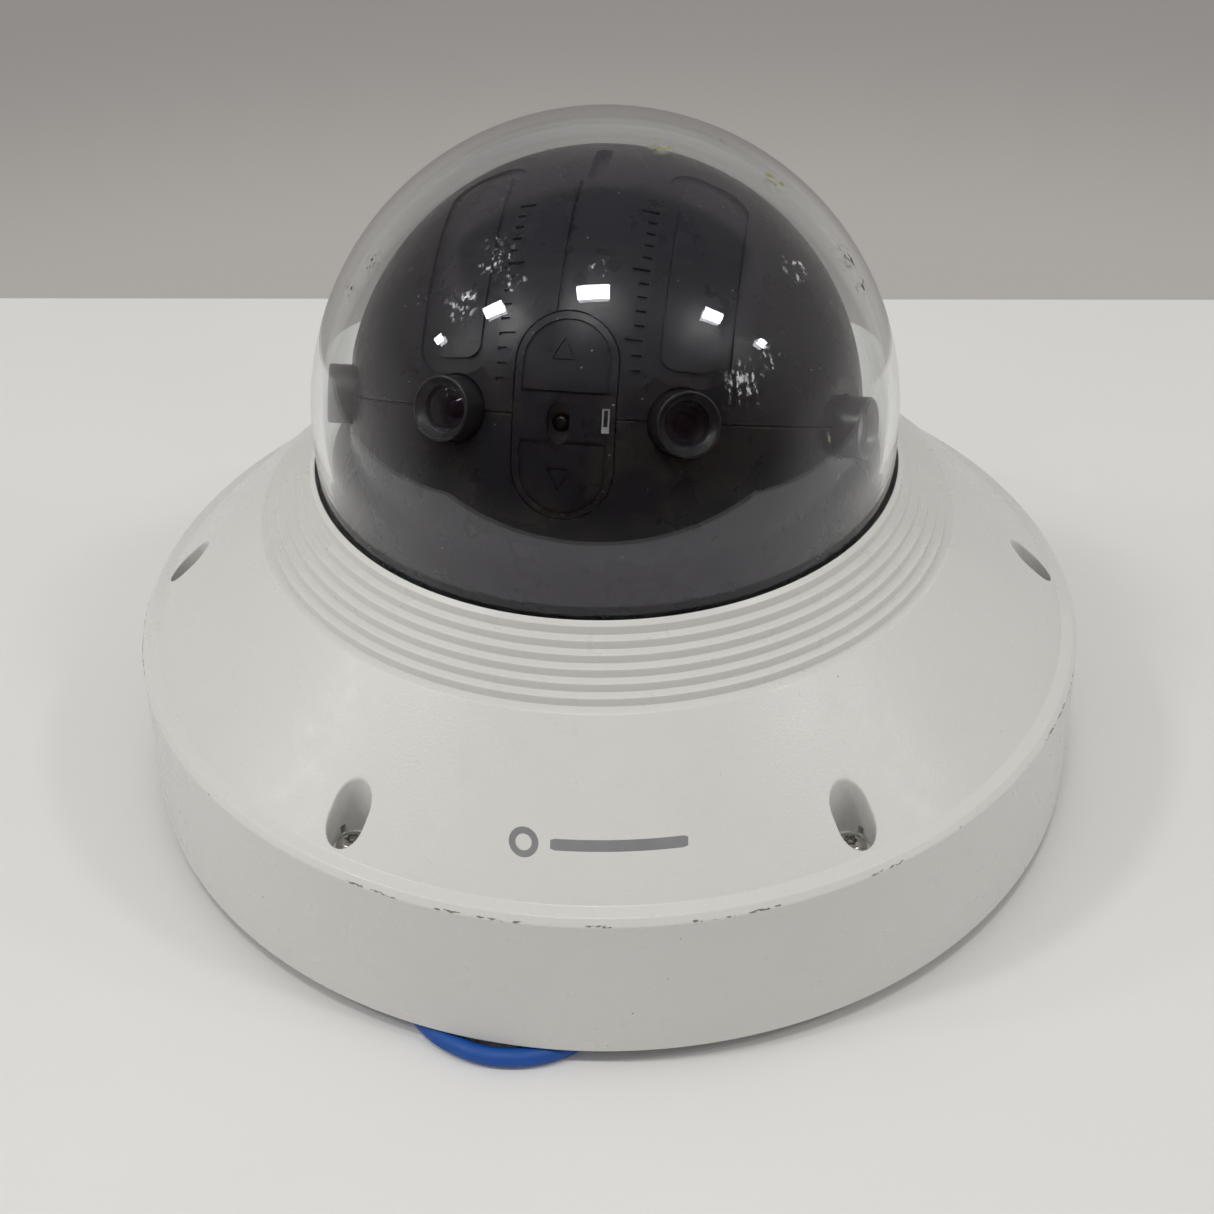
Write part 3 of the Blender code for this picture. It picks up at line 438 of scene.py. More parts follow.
def make_materials():
    brushed = (1.0, 1.0, 0.12)
    cover_paint()
    clear_dome()
    ball_gloss()
    lens_coating()
    circuit_mask()
    plain_finish("black_plastic", (0.016, 0.016, 0.018), 0.42, 0.45)
    plain_finish("rubber", (0.022, 0.022, 0.022), 0.78, 0.4, 0.03)
    plain_finish("steel", (0.56, 0.54, 0.51), 0.26, 0.35, 0.012, 3.0, 0.18, brushed, Metallic=1.0)
    plain_finish("cast_case", (0.46, 0.465, 0.46), 0.52, 0.8, 0.07, 12.0, Metallic=0.85)
    plain_finish("aluminium", (0.74, 0.74, 0.75), 0.34, 0.3, 0.01, 5.0, 0.08, brushed, Metallic=1.0)
    plain_finish("green_plastic", (0.02, 0.26, 0.07), 0.42, 0.4)
    plain_finish("blue_jacket", (0.0015, 0.064, 0.31), 0.55, 0.5, 0.02, 9.0, 0.14)
    plain_finish("lens_black", (0.009, 0.009, 0.010), 0.34, 0.4, 0.003, 5.0, 0.1)
    plain_finish("dark_steel", (0.10, 0.095, 0.09), 0.34, 0.4, 0.01, 2.0, 0.2, Metallic=1.0)
    plain_finish("plug_plastic", (0.82, 0.85, 0.86), 0.12, 0.6, 0.01, 6.0, 0.04,
                 Transmission_Weight=0.75, IOR=1.5)
    plain_finish("gold", (0.85, 0.60, 0.22), 0.25, 0.3, 0.01, Metallic=1.0)
    plain_finish("grey_print", (0.20, 0.20, 0.205), 0.5, 0.3, 0.01, 4.0, 0.15)
    plain_finish("lens_core", (0.016, 0.007, 0.011), 0.05, 2.0, 0.002, 3.0, 0.5,
                 Coat_Weight=1.0, Coat_Roughness=0.02)
    plain_finish("chip_black", (0.02, 0.02, 0.022), 0.5, 0.3)


# --- shape helpers ---
def closed_object(bm):
    mesh = bpy.data.meshes.new("shape")
    bm.to_mesh(mesh)
    bm.free()
    return linked("shape", mesh)


def solid(bm):
    """Turn a bmesh in millimetres into a closed object with its faces pointing out."""
    bmesh.ops.remove_doubles(bm, verts=bm.verts, dist=1e-4)
    bmesh.ops.recalc_face_normals(bm, faces=bm.faces)
    return closed_object(bm)


def joined(shapes):
    """Put shapes that don't touch into one object."""
    bm = bmesh.new()
    for shape in shapes:
        bm.from_mesh(shape.data)
        bpy.data.objects.remove(shape, do_unlink=True)
    return closed_object(bm)


def arc(radius, start, end, steps, z=0.0, rise=None):
    """Points (r, z) on an arc between two angles above level. A rise flattens it into an ellipse."""
    points = []
    for i in range(steps + 1):
        a = radians(start + (end - start) * i / steps)
        r = radius * cos(a)
        points.append((0.0 if abs(r) < 1e-6 else r, z + (radius if rise is None else rise) * sin(a)))
    return points


def rounded(corners, steps=3):
    """A closed outline of (r, z, fillet) corners, with an arc of that radius at each."""
    outline = []
    for i, (r, z, fillet) in enumerate(corners):
        if fillet <= 0:
            outline.append((r, z))
            continue
        corner = Vector((r, z))
        back = (Vector(corners[i - 1][:2]) - corner).normalized()
        on = (Vector(corners[(i + 1) % len(corners)][:2]) - corner).normalized()
        half = back.angle(on) / 2
        centre = corner + (back + on).normalized() * (fillet / sin(half))
        first = corner + back * (fillet / tan(half)) - centre
        last = corner + on * (fillet / tan(half)) - centre
        turn = first.angle_signed(last)
        for k in range(steps + 1):
            a = -turn * k / steps
            outline.append((centre.x + first.x * cos(a) - first.y * sin(a),
                            centre.y + first.x * sin(a) + first.y * cos(a)))
    return outline


def stepped(corners, step):
    """Points at about even steps along the closed path through the corners."""
    points = []
    for (x0, y0), (x1, y1) in zip(corners, corners[1:] + corners[:1]):
        count = max(1, round(hypot(x1 - x0, y1 - y0) / step))
        points += [(x0 + (x1 - x0) * k / count, y0 + (y1 - y0) * k / count) for k in range(count)]
    return points


def turned(profile, segments=96):
    """Spin a profile of (radius, height) points about Z. One that starts and ends at radius 0 is open."""
    bm = bmesh.new()
    verts = [bm.verts.new((r, 0.0, z)) for r, z in profile]
    pairs = list(zip(verts, verts[1:]))
    if profile[0][0] > 0 or profile[-1][0] > 0:
        pairs.append((verts[-1], verts[0]))
    edges = [bm.edges.new(pair) for pair in pairs]
    bmesh.ops.spin(bm, geom=verts + edges, cent=(0, 0, 0), axis=(0, 0, 1), angle=2 * pi,
                   steps=segments, use_merge=True, use_duplicate=False)
    return solid(bm)


def rod(start, end, radius, sides=32, end_radius=None):
    start, end = Vector(start), Vector(end)
    axis = end - start
    turn = Vector((0, 0, 1)).rotation_difference(axis).to_matrix().to_4x4()
    bm = bmesh.new()
    bmesh.ops.create_cone(bm, cap_ends=True, segments=sides, radius1=radius,
                          radius2=radius if end_radius is None else end_radius,
                          depth=axis.length, matrix=Matrix.Translation((start + end) / 2) @ turn)
    return solid(bm)


def post(azimuth, ring_r, low, high, radius, sides=32):
    """An upright rod on a ring round the Z axis."""
    return rod(around(azimuth, ring_r, low), around(azimuth, ring_r, high), radius, sides)


def block(low, high, soften=0.0, segments=2):
    low, high = Vector(low), Vector(high)
    bm = bmesh.new()
    bmesh.ops.create_cube(bm, size=1.0, matrix=Matrix.Translation((low + high) / 2)
                          @ Matrix.Diagonal((*(high - low), 1.0)))
    if soften:
        bmesh.ops.bevel(bm, geom=bm.edges, offset=soften, segments=segments, affect="EDGES", profile=0.5)
    return solid(bm)


def skin(sections, closed=False):
    """A solid through sections of the same number of points, closed into a loop or capped at its ends."""
    bm = bmesh.new()
    rows = [[bm.verts.new(p) for p in section] for section in sections]
    pairs = list(zip(rows, rows[1:]))
    if closed:
        pairs.append((rows[-1], rows[0]))
    for a, b in pairs:
        for k in range(len(a)):
            bm.faces.new((a[k - 1], a[k], b[k], b[k - 1]))
    if not closed:
        bm.faces.new(rows[0][::-1])
        bm.faces.new(rows[-1])
    return solid(bm)


def slab(outline, low, high):
    return skin([[(x, y, z) for x, y in outline] for z in (low, high)])


def stadium(half_x, half_y, steps=14):
    """Outline of a slot with round ends, longer along Y."""
    straight = half_y - half_x
    return arc(half_x, 0, 180, steps, straight) + arc(half_x, 180, 360, steps, -straight)


def around(azimuth, radius, z=0.0):
    """A point at an azimuth, 0 at the front (-Y) and 90 at +X."""
    a = radians(azimuth)
    return Vector((radius * sin(a), -radius * cos(a), z))


def moved(obj, matrix):
    obj.data.transform(matrix)
    return obj


def shifted(obj, *by):
    return moved(obj, Matrix.Translation(by))


def spin_to(obj, azimuth):
    return moved(obj, rotation(azimuth, "Z"))


def to_front(obj):
    """Lay a shape that was made along Z so that it points forwards, along -Y."""
    return moved(obj, rotation(90, "X"))


def combine(target, others, operation):
    """Join or cut a shape with others, which are used up."""
    for other in others:
        mod = target.modifiers.new(operation.lower(), "BOOLEAN")
        mod.object = other
        mod.operation = operation
        mod.solver = "EXACT"
    graph = bpy.context.evaluated_depsgraph_get()
    mesh = bpy.data.meshes.new_from_object(target.evaluated_get(graph))
    target.modifiers.clear()
    target.data = mesh
    for other in others:
        bpy.data.objects.remove(other, do_unlink=True)
    bm = bmesh.new()
    bm.from_mesh(mesh)
    bmesh.ops.remove_doubles(bm, verts=bm.verts, dist=1e-3)
    bmesh.ops.dissolve_degenerate(bm, edges=bm.edges, dist=1e-3)
    bm.to_mesh(mesh)
    bm.free()
    return target


def piece(obj, name, look, body, replaces=None, place=None, sharp=35.0):
    """Put a shape in place in metres, shade it smooth and hang it on its body.

    One that replaces a frame node hides that node."""
    if place:
        moved(obj, place)
    moved(obj, Matrix.Scale(MM, 4))
    obj.name = obj.data.name = name
    obj.data.materials.clear()
    obj.data.materials.append(LOOKS[look])
    obj.data.shade_smooth()
    obj.data.set_sharp_from_angle(angle=radians(sharp))
    even = obj.modifiers.new("even_shading", "WEIGHTED_NORMAL")
    even.keep_sharp = True
    even.weight = 50
    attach(obj, body)
    if replaces:
        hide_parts(replaces)
    return obj


# --- cover ---
def cone_z(r):
    return OPENING_Z - (r - OPENING_R) * CONE_SLOPE


def cone_under_z(r):
    return cone_z(r) - WALL * CONE_SLANT


def cover_corners():
    """Outline of the cover's wall: stepped grooves round the opening, cone, rim bevel, skirt and inside."""
    corners = [(OPENING_R, SEAT_Z, 0), (OPENING_R, OPENING_Z, 0.22)]
    for k in range(GROOVES):
        r = FIRST_GROOVE_R + GROOVE_PITCH * k
        corners.append((r, cone_z(r), 0.16))
        corners.append((r + 0.12, cone_z(r + GROOVE_PITCH) + 0.04, 0.16))
    last = FIRST_GROOVE_R + GROOVE_PITCH * GROOVES
    inner_r = BEVEL_R - 2.2
    return corners + [
        (last, cone_z(last), 0.9), (86.0, cone_z(86.0), 0), (93.0, cone_z(93.0), 0), (BEVEL_R, BEVEL_Z, 0.8),
        (RIM_R - 1.2, BEVEL_Z - 0.5, 0.7), (RIM_R, RIM_Z, 0.7),
        (SKIRT_R, SKIRT_Z, 0.4), (SKIRT_R - WALL, SKIRT_Z, 0.6), (RIM_R - WALL, RIM_Z - 2.0, 1.0),
        (inner_r, cone_under_z(inner_r), 1.0), (SEAT_R, cone_under_z(SEAT_R), 0.5), (SEAT_R, SEAT_Z, 0),
    ]


def pocket_post(azimuth):
    """Wall round a screw pocket, from its foot up into the middle of the cone's wall."""
    low, high = [], []
    for x, y in stadium(POCKET_HALF_W + POCKET_WALL, POCKET_HALF_L + POCKET_WALL):
        y -= SCREW_RING_R
        low.append((x, y, POST_FOOT_Z))
        high.append((x, y, cone_z(hypot(x, y)) - POST_DEPTH))
    return spin_to(skin([low, high]), azimuth)


def pocket_ring(grow, z=None, lift=0.0):
    """Outline of a screw pocket at a height, or else at a lift from the cone."""
    points = []
    for x, y in stadium(POCKET_HALF_W + grow, POCKET_HALF_L + grow):
        on_cone = max(cone_z(hypot(x, y - SCREW_RING_R)), POCKET_FLOOR_Z + 1.2) + lift
        points.append((x, y - SCREW_RING_R, on_cone if z is None else z))
    return points


def pocket_cutter(azimuth):
    """The oval pocket over a screw, with its edge on the cone rounded over."""
    rings = [pocket_ring(-0.5, POCKET_FLOOR_Z), pocket_ring(-0.15, POCKET_FLOOR_Z + 0.15),
             pocket_ring(0, POCKET_FLOOR_Z + 0.5), pocket_ring(0, lift=-0.55), pocket_ring(0.1, lift=-0.2),
             pocket_ring(0.35, lift=0.1), pocket_ring(0.35, OPENING_Z)]
    return spin_to(skin(rings), azimuth)


def pocket_slot(azimuth):
    """A small notch in the side of a screw pocket."""
    side = 1 if azimuth > 0 else -1
    slot = block((-1.0, -0.65, POCKET_FLOOR_Z + 0.1), (1.0, 0.65, POCKET_FLOOR_Z + 2.6))
    return spin_to(shifted(slot, side * (POCKET_HALF_W + 0.3), 2.0 - SCREW_RING_R, 0), azimuth)


def make_cover():
    cover = turned(rounded(cover_corners()), 240)
    posts, cutters = [], []
    for azimuth in SCREW_AZ:
        posts.append(pocket_post(azimuth))
        cutters.append(pocket_cutter(azimuth))
        cutters.append(post(azimuth, SCREW_RING_R, POST_FOOT_Z - 2, POCKET_FLOOR_Z + 1, SCREW_HOLE_R))
        cutters.append(pocket_slot(azimuth))
    for azimuth in CLAMP_SCREW_AZ:
        posts.append(post(azimuth, CLAMP_SCREW_R, 61.8, cone_under_z(CLAMP_SCREW_R) + 0.5, 3.2))
        cutters.append(post(azimuth, CLAMP_SCREW_R, 60.5, 65.1, SMALL_HOLE_R, 20))
    combine(cover, posts, "UNION")
    combine(cover, cutters, "DIFFERENCE")
    piece(cover, "cover_shell", "white_paint", "cover", "top_cover", sharp=40)


def circle(count):
    return [2 * pi * k / count for k in range(count)]


def print_section(x0, y0, x1, y1):
    """A thin section of the mark between two points (x along the mark, y up the cone)."""
    section = []
    for x, y, up in ((x0, y0, 1), (x1, y1, 1), (x1, y1, -1), (x0, y0, -1)):
        r = MARK_R - y / CONE_SLANT
        section.append(around(degrees(x / r), r, cone_z(r) + up * PRINT_HALF))
    return section


def make_cover_mark():
    """A plain printed mark on the front of the cone: a ring and a bar."""
    ring = [print_section(RING_OUT_R * cos(a) + RING_X, RING_OUT_R * sin(a),
                          RING_IN_R * cos(a) + RING_X, RING_IN_R * sin(a)) for a in circle(48)]
    bar = []
    for k in range(BAR_STEPS + 1):
        x = BAR_X + BAR_STEP * k
        half = 1.1 if 0 < k < BAR_STEPS else 0.8
        bar.append(print_section(x, half, x, -half))
    piece(joined([skin(ring, True), skin(bar)]), "cover_mark", "grey_print", "cover")


# --- bubble and its fittings ---
def make_bubble():
    inner_r = BUBBLE_R - BUBBLE_WALL
    low, high = FLANGE_Z
    flange = rounded([(BUBBLE_R, high, 0.8), (FLANGE_R, high, 0.3), (FLANGE_R, low, 0.3), (inner_r, low, 0.4),
                      (inner_r, BALL_Z - 5, 0), (BUBBLE_R, BALL_Z - 5, 0)])[:-2]
    profile = arc(BUBBLE_R, 90, 0, 48, BALL_Z) + flange + arc(inner_r, 0, 90, 48, BALL_Z)
    piece(turned(profile, 192), "bubble", "clear_plastic", "cover", "dome_bubble")


def make_bubble_fittings():
    gasket = rounded([(66.0, 67.3, 0.4), (66.0, 68.6, 0.4), (71.2, 68.6, 0.4), (71.2, 67.3, 0.4)])
    piece(turned(gasket, 160), "bubble_gasket", "rubber", "cover", "dome_gasket")
    ring = turned(rounded([(66.0, 58.8, 0.3), (66.0, 64.2, 0.3), (71.7, 64.2, 0.3), (71.7, 61.5, 0),
                           (78.6, 61.5, 0.3), (78.6, 58.8, 0.3)]), 160)
    holes = [post(azimuth, CLAMP_SCREW_R, 58, 62, SMALL_HOLE_R, 20) for azimuth in CLAMP_SCREW_AZ]
    combine(ring, holes, "DIFFERENCE")
    piece(ring, "clamp_ring", "aluminium", "cover", "dome_clamp_ring")


def fine_screw(seat, height, head_r, shank_r, tip, lobes=6, pin=True):
    """A screw with a domed head, a lobed recess and a threaded shank, pointing from its seat to its tip."""
    length = abs(seat - tip)
    pitch = shank_r * 0.42
    profile = rounded([(0, height, 0), (head_r * 0.62, height, 0.9), (head_r, height * 0.45, 0.5),
                       (head_r, 0, 0.15), (shank_r * 1.02, 0, 0)])
    z = -pitch
    while z > -length + pitch * 2:
        profile += [(shank_r * 0.80, z), (shank_r, z - pitch * 0.5)]
        z -= pitch
    screw = turned(profile + [(shank_r * 0.6, -length), (0, -length)], 40)
    recess = [((0.40 + 0.07 * cos(lobes * a)) * head_r * cos(a),
               (0.40 + 0.07 * cos(lobes * a)) * head_r * sin(a)) for a in circle(48)]
    combine(screw, [slab(recess, height * 0.35, height + 1)], "DIFFERENCE")
    if pin:
        combine(screw, [rod((0, 0, height * 0.3), (0, 0, height * 0.9), head_r * 0.14, 16)], "UNION")
    if tip > seat:
        moved(screw, rotation(180, "X"))
    return shifted(screw, 0, 0, seat)


def make_screws():
    # piece and frame names, body, azimuths and ring radius, then seat, head height, two radii and tip
    sets = [
        ("captive_screw", "cover_screw", "cover", SCREW_AZ, SCREW_RING_R, SCREW_SEAT_Z, 2.2, 3.4, 1.95, 22.2),
        ("ring_screw", "clamp_screw", "cover", CLAMP_SCREW_AZ, CLAMP_SCREW_R, 58.5, 1.6, 2.3, 1.15, 64.7),
        ("pcb_screw", "board_screw", "base", BOARD_SCREW_AZ, BOARD_SCREW_R, 23.9, 1.6, 2.6, 1.2, 18.9),
    ]
    for name, cad, body, azimuths, ring_r, *sizes in sets:
        for n, azimuth in enumerate(azimuths, 1):
            screw = fine_screw(*sizes, pin=name == "captive_screw")
            piece(shifted(screw, *around(azimuth, ring_r)), f"{name}_{n}", "steel", body, f"{cad}_{n}")


# --- ball ---
def ball_place():
    """From the level ball at the origin to its panned and tilted place at rest."""
    pan = degrees(atan2(-TILT["axis"][1], -TILT["axis"][0]))
    up = LOWEST_LENS_PLANE - TILT["range_deg"][0]
    return Matrix.Translation((0, 0, BALL_Z)) @ rotation(pan, "Z") @ rotation(-up, "X")


def on_ball(x, z):
    """Point on the front of the level ball, x across and z up."""
    return Vector((x, -sqrt(BALL_R * BALL_R - x * x - z * z), z))


def on_arc(x, angle):
    """Point on the level ball, x across and an angle above the lens plane."""
    reach = sqrt(BALL_R * BALL_R - x * x)
    a = radians(angle)
    return Vector((x, -reach * cos(a), reach * sin(a)))


def groove(points, half_width, depth, closed=False, proud=1.0):
    """A bar along points on the ball, from a depth under its surface to proud of it."""
    sections = []
    count = len(points)
    for i, p in enumerate(points):
        before = points[i - 1] if closed or i else p
        after = points[(i + 1) % count] if closed or i < count - 1 else p
        out = p.normalized()
        side = out.cross((after - before).normalized()).normalized() * half_width
        low, high = out * (p.length - depth), out * (p.length + proud)
        sections.append((low - side, low + side, high + side, high - side))
    return skin(sections, closed)


def patch(points, depth, proud=1.0):
    """A prism through an outline on the ball, along the ball's radii."""
    low = [p.normalized() * (p.length - depth) for p in points]
    high = [p.normalized() * (p.length + proud) for p in points]
    return skin([low, high])


def half_ball(way, end, steps=44):
    """Shell on one side of the seam, from an end angle to the lens plane, with its edges eased."""
    start = 0.45
    inner_r = BALL_R - BALL_WALL
    profile = arc(inner_r, end, start, steps) + [(inner_r, 0.17), (BALL_R - 0.2, 0.16)]
    profile += arc(BALL_R, start, end, steps)
    return turned([(r, way * z) for r, z in profile], 144)


def ball_cutters():
    """Cut from both shells: facets and holes for the lenses, the lock plate's seat and the opening below."""
    holes = []
    for azimuth in LENS_AZ:
        holes.append(rod(around(azimuth, 45), around(azimuth, 65), BARREL_R + 0.45, 48))
        holes.append(rod(around(azimuth, FACET_DIST), around(azimuth, 65), 12.0, 64))
    holes.append(to_front(slab(stadium(CAPSULE_HALF_W + 0.3, CAPSULE_HALF_H + 0.3, 20), 40.0, 62.0)))
    opening = block((-70, -70, -140 - BALL_OPENING_DIST), (70, 70, -BALL_OPENING_DIST))
    holes.append(moved(opening, rotation(BALL_OPENING_LEAN, "X")))
    return holes


def seam_and_window():
    """Upright seam line above the lock plate, and the slot at its top."""
    foot = degrees(asin((CAPSULE_HALF_H + 0.6) / BALL_R)) - 1
    seam = [on_arc(-2.5, foot + (53 - foot) * k / 16) for k in range(17)]
    window = [on_arc(x, 61 + degrees(y / BALL_R)) for x, y in stadium(1.65, 7.9)]
    return [groove(seam, 0.38, 0.8), patch(window, 1.3)]


def tick_scale(side):
    """Tick marks every three degrees, with a long one at every fifteen."""
    marks = []
    for angle in range(6 if side < 0 else 9, 46, 3):
        length, half_width = (3.3, 0.38) if angle % 15 == 0 else (1.8, 0.32)
        ends = [on_arc(side * (SCALE_X - length), angle + 0.5), on_arc(side * SCALE_X, angle + 0.5)]
        marks.append(groove(ends, half_width, 0.6))
    return marks


def side_panel(side):
    """Groove round the long rounded panel beside a tick scale."""
    per_degree = radians(1) * BALL_R
    corners = [(15.9, 9), (15.9, 62), (29.0, 62), (29.0, 9)][::-side]
    flat = rounded([(side * x, angle * per_degree, 4.5) for x, angle in corners], 6)
    return groove([on_arc(x, y / per_degree) for x, y in stepped(flat, 0.9)], 1.5, 0.6, closed=True)


def make_ball(place):
    upper, lower = half_ball(1, 90), half_ball(-1, 80)
    for shell in (upper, lower):
        combine(shell, ball_cutters(), "DIFFERENCE")
    marks = seam_and_window()
    for side in (-1, 1):
        marks += tick_scale(side) + [side_panel(side)]
    combine(upper, marks, "DIFFERENCE")
    piece(upper, "ball_upper", "ball_gloss", "ball", "ball_shell_upper", place, 30)
    piece(lower, "ball_lower", "ball_gloss", "ball", "ball_shell_lower", place, 30)


def lobe(flat_z, end_z, way):
    """D-shaped groove on the lock plate: flat towards the middle, round at the end."""
    corners = arc(LOBE_HALF_W, 0, 180, 22, end_z - LOBE_HALF_W)
    corners += [(-LOBE_HALF_W, flat_z), (LOBE_HALF_W, flat_z)]
    return groove([on_ball(x, way * z) for x, z in stepped(corners, 0.8)], LINE_HALF_W, 0.5, closed=True)


def arrow(z, way):
    """Groove round a small triangle on the lock plate, pointing away from the middle."""
    tips = [on_ball(x - 0.6, way * (z + y)) for x, y in ((0, 2.6), (-2.2, -1.4), (2.2, -1.4))]
    path = [a.lerp(b, k / 4) for a, b in zip(tips, tips[1:] + tips[:1]) for k in range(4)]
    return groove(path, LINE_HALF_W / 2, 0.4, closed=True)


def make_lock_plate(place):
    outline = arc(BALL_R - 0.05, -27, 27, 30) + arc(BALL_R - BALL_WALL, 27, -27, 30)
    plate = turned(outline, 192)
    combine(plate, [to_front(slab(stadium(CAPSULE_HALF_W, CAPSULE_HALF_H, 24), 48.0, 60.0))], "INTERSECT")
    hole = moved(to_front(slab(stadium(2.15, 4.0), 48, 60)), LOCK_HOLE)
    lines = [lobe(4.4, 18.0, 1), lobe(5.0, 18.4, -1), arrow(12.0, 1), arrow(11.4, -1)]
    combine(plate, [hole] + lines, "DIFFERENCE")
    piece(plate, "lock_plate", "ball_gloss", "ball", "tilt_lock_plate", place, 30)


def make_plate_tag(place):
    """A small printed gauge on the lock plate: a frame with its lower part filled."""
    left, right, foot, fill, top, line = 7.3, 8.7, -2.7, -1.5, 1.9, 0.3
    bars = [(left, left + line, fill, top), (right - line, right, fill, top),
            (left + line, right - line, top - line, top), (left, right, foot, fill)]
    tag = [patch([on_ball(a, c), on_ball(b, c), on_ball(b, d), on_ball(a, d)], 0.12, -0.01)
           for a, b, c, d in bars]
    piece(joined(tag), "plate_tag", "grey_print", "ball", place=place)


def make_lock_screw(place):
    screw = moved(to_front(fine_screw(51.5, 1.9, 1.8, 0.95, 44.0, lobes=4, pin=False)), LOCK_HOLE)
    piece(screw, "lock_screw_head", "dark_steel", "lock_screw", "tilt_lock_screw", place)


def make_lenses(place):
    # radius, depth under the tip and fillet
    tube = [(BARREL_R, 27.4, 0.2), (BARREL_R, 8.8, 0), (BARREL_R - 0.25, 8.6, 0), (BARREL_R - 0.25, 7.4, 0),
            (BARREL_R, 7.2, 0), (BARREL_R, 0, 0.3), (5.75, 0, 0.12), (5.65, 0.5, 0), (4.75, 1.5, 0.1),
            (4.5, 1.5, 0.05), (4.5, 2.6, 0), (3.9, 2.6, 0), (3.3, 3.5, 0), (2.9, 3.5, 0), (2.4, 4.6, 0),
            (2.0, 4.6, 0), (2.0, 7.0, 0), (0.5, 7.2, 0), (0.5, 27.4, 0)]
    tube = rounded([(r, LENS_TIP - depth, fillet) for r, depth, fillet in tube])
    rear = [(4.4, 2.45), (3.6, 2.45), (2.6, 2.2), (1.3, 2.0), (0, 1.95)]
    glass = arc(4.4, 90, 0, 12, LENS_TIP - 2.0, 0.7) + [(r, LENS_TIP - depth) for r, depth in rear]
    core = arc(2.35, 90, 0, 8, LENS_TIP - 5.2, 0.9) + [(1.9, LENS_TIP - 5.9), (0, LENS_TIP - 5.9)]
    for n, azimuth in enumerate(LENS_AZ, 1):
        spot = place @ rotation(azimuth, "Z") @ rotation(90, "X")
        piece(turned(tube, 72), f"lens_tube_{n}", "lens_black", "ball", f"lens_barrel_{n}", spot)
        piece(turned(glass, 64), f"front_glass_{n}", "lens_glass", "ball", f"lens_glass_{n}", spot)
        piece(turned(core, 40), f"lens_core_{n}", "lens_core", "ball", place=spot)


# --- base ---
def make_case():
    """The lower case: a floor, a tub wall, screw bosses, feet and the pan bearing's pedestal."""
    under, deck, tub_in, tub_out, tub_top = 16.5, 19.5, 86.5, 90.0, 50.0
    case = turned(rounded([
        (0, under, 0), (98.0, under, 1.2), (98.0, 6.0, 0.5), (105.0, 6.0, 0.6), (105.0, deck, 1.0),
        (tub_out, deck, 1.0), (tub_out, tub_top, 0.4), (tub_in, tub_top, 0.4), (tub_in, 46.7, 0),
        (84.0, 46.7, 0.3), (84.0, 44.5, 0.3), (tub_in, 42.0, 0), (tub_in, deck, 1.0), (0, deck, 0)]), 200)
    solids, holes = [], []
    for azimuth in SCREW_AZ:
        solids.append(post(azimuth, SCREW_RING_R, ROOT_Z, 33.3, 5.2, 40))
        holes.append(post(azimuth, SCREW_RING_R, 21.5, 34.3, SCREW_HOLE_R, 24))
    for azimuth in FOOT_AZ:
        foot = turned(rounded([(0, 0, 0), (7.0, 0, 0.6), (6.8, ROOT_Z, 0), (0, ROOT_Z, 0)]), 40)
        solids.append(shifted(foot, *around(azimuth, FOOT_RING_R)))
        holes.append(post(azimuth, FOOT_RING_R, -1, deck + 1, 2.6))
    for azimuth in BOARD_SCREW_AZ:
        solids.append(post(azimuth, BOARD_SCREW_R, ROOT_Z, 21.7, 3.2, 24))
        holes.append(post(azimuth, BOARD_SCREW_R, ROOT_Z + 1, 22.7, SMALL_HOLE_R, 20))
    solids.append(post(0, 0, ROOT_Z, 24.5, 22.0, 72))
    holes.append(post(0, 0, 19.9, 25.5, 6.3, 40))
    holes.append(rod((*BOOT_XY, under - 1), (*BOOT_XY, deck + 1), 6.0, 40))
    combine(case, solids, "UNION")
    combine(case, holes, "DIFFERENCE")
    piece(case, "case_casting", "cast_case", "base", "lower_case", sharp=40)


def make_seal_and_liner():
    seal = rounded([(86.7, 50.3, 0.5), (86.7, 52.4, 0.9), (88.8, 52.4, 0.9), (88.8, 50.3, 0.5)])
    piece(turned(seal, 160), "weather_seal", "rubber", "base", "cover_seal")
    under, deck, rib = 47.0, 48.6, 48.0
    liner = rounded([(59.0, under, 0.3), (59.0, 57.5, 0.5), (60.6, 57.5, 0.5), (60.6, deck, 1.2),
                     (74.0, deck, 0.4), (74.4, rib, 0.2), (75.6, rib, 0.2), (76.0, deck, 0.4),
                     (86.0, deck, 0.4), (86.0, under, 0.3)])
    piece(turned(liner, 160), "liner_shroud", "black_plastic", "base", "inner_liner")


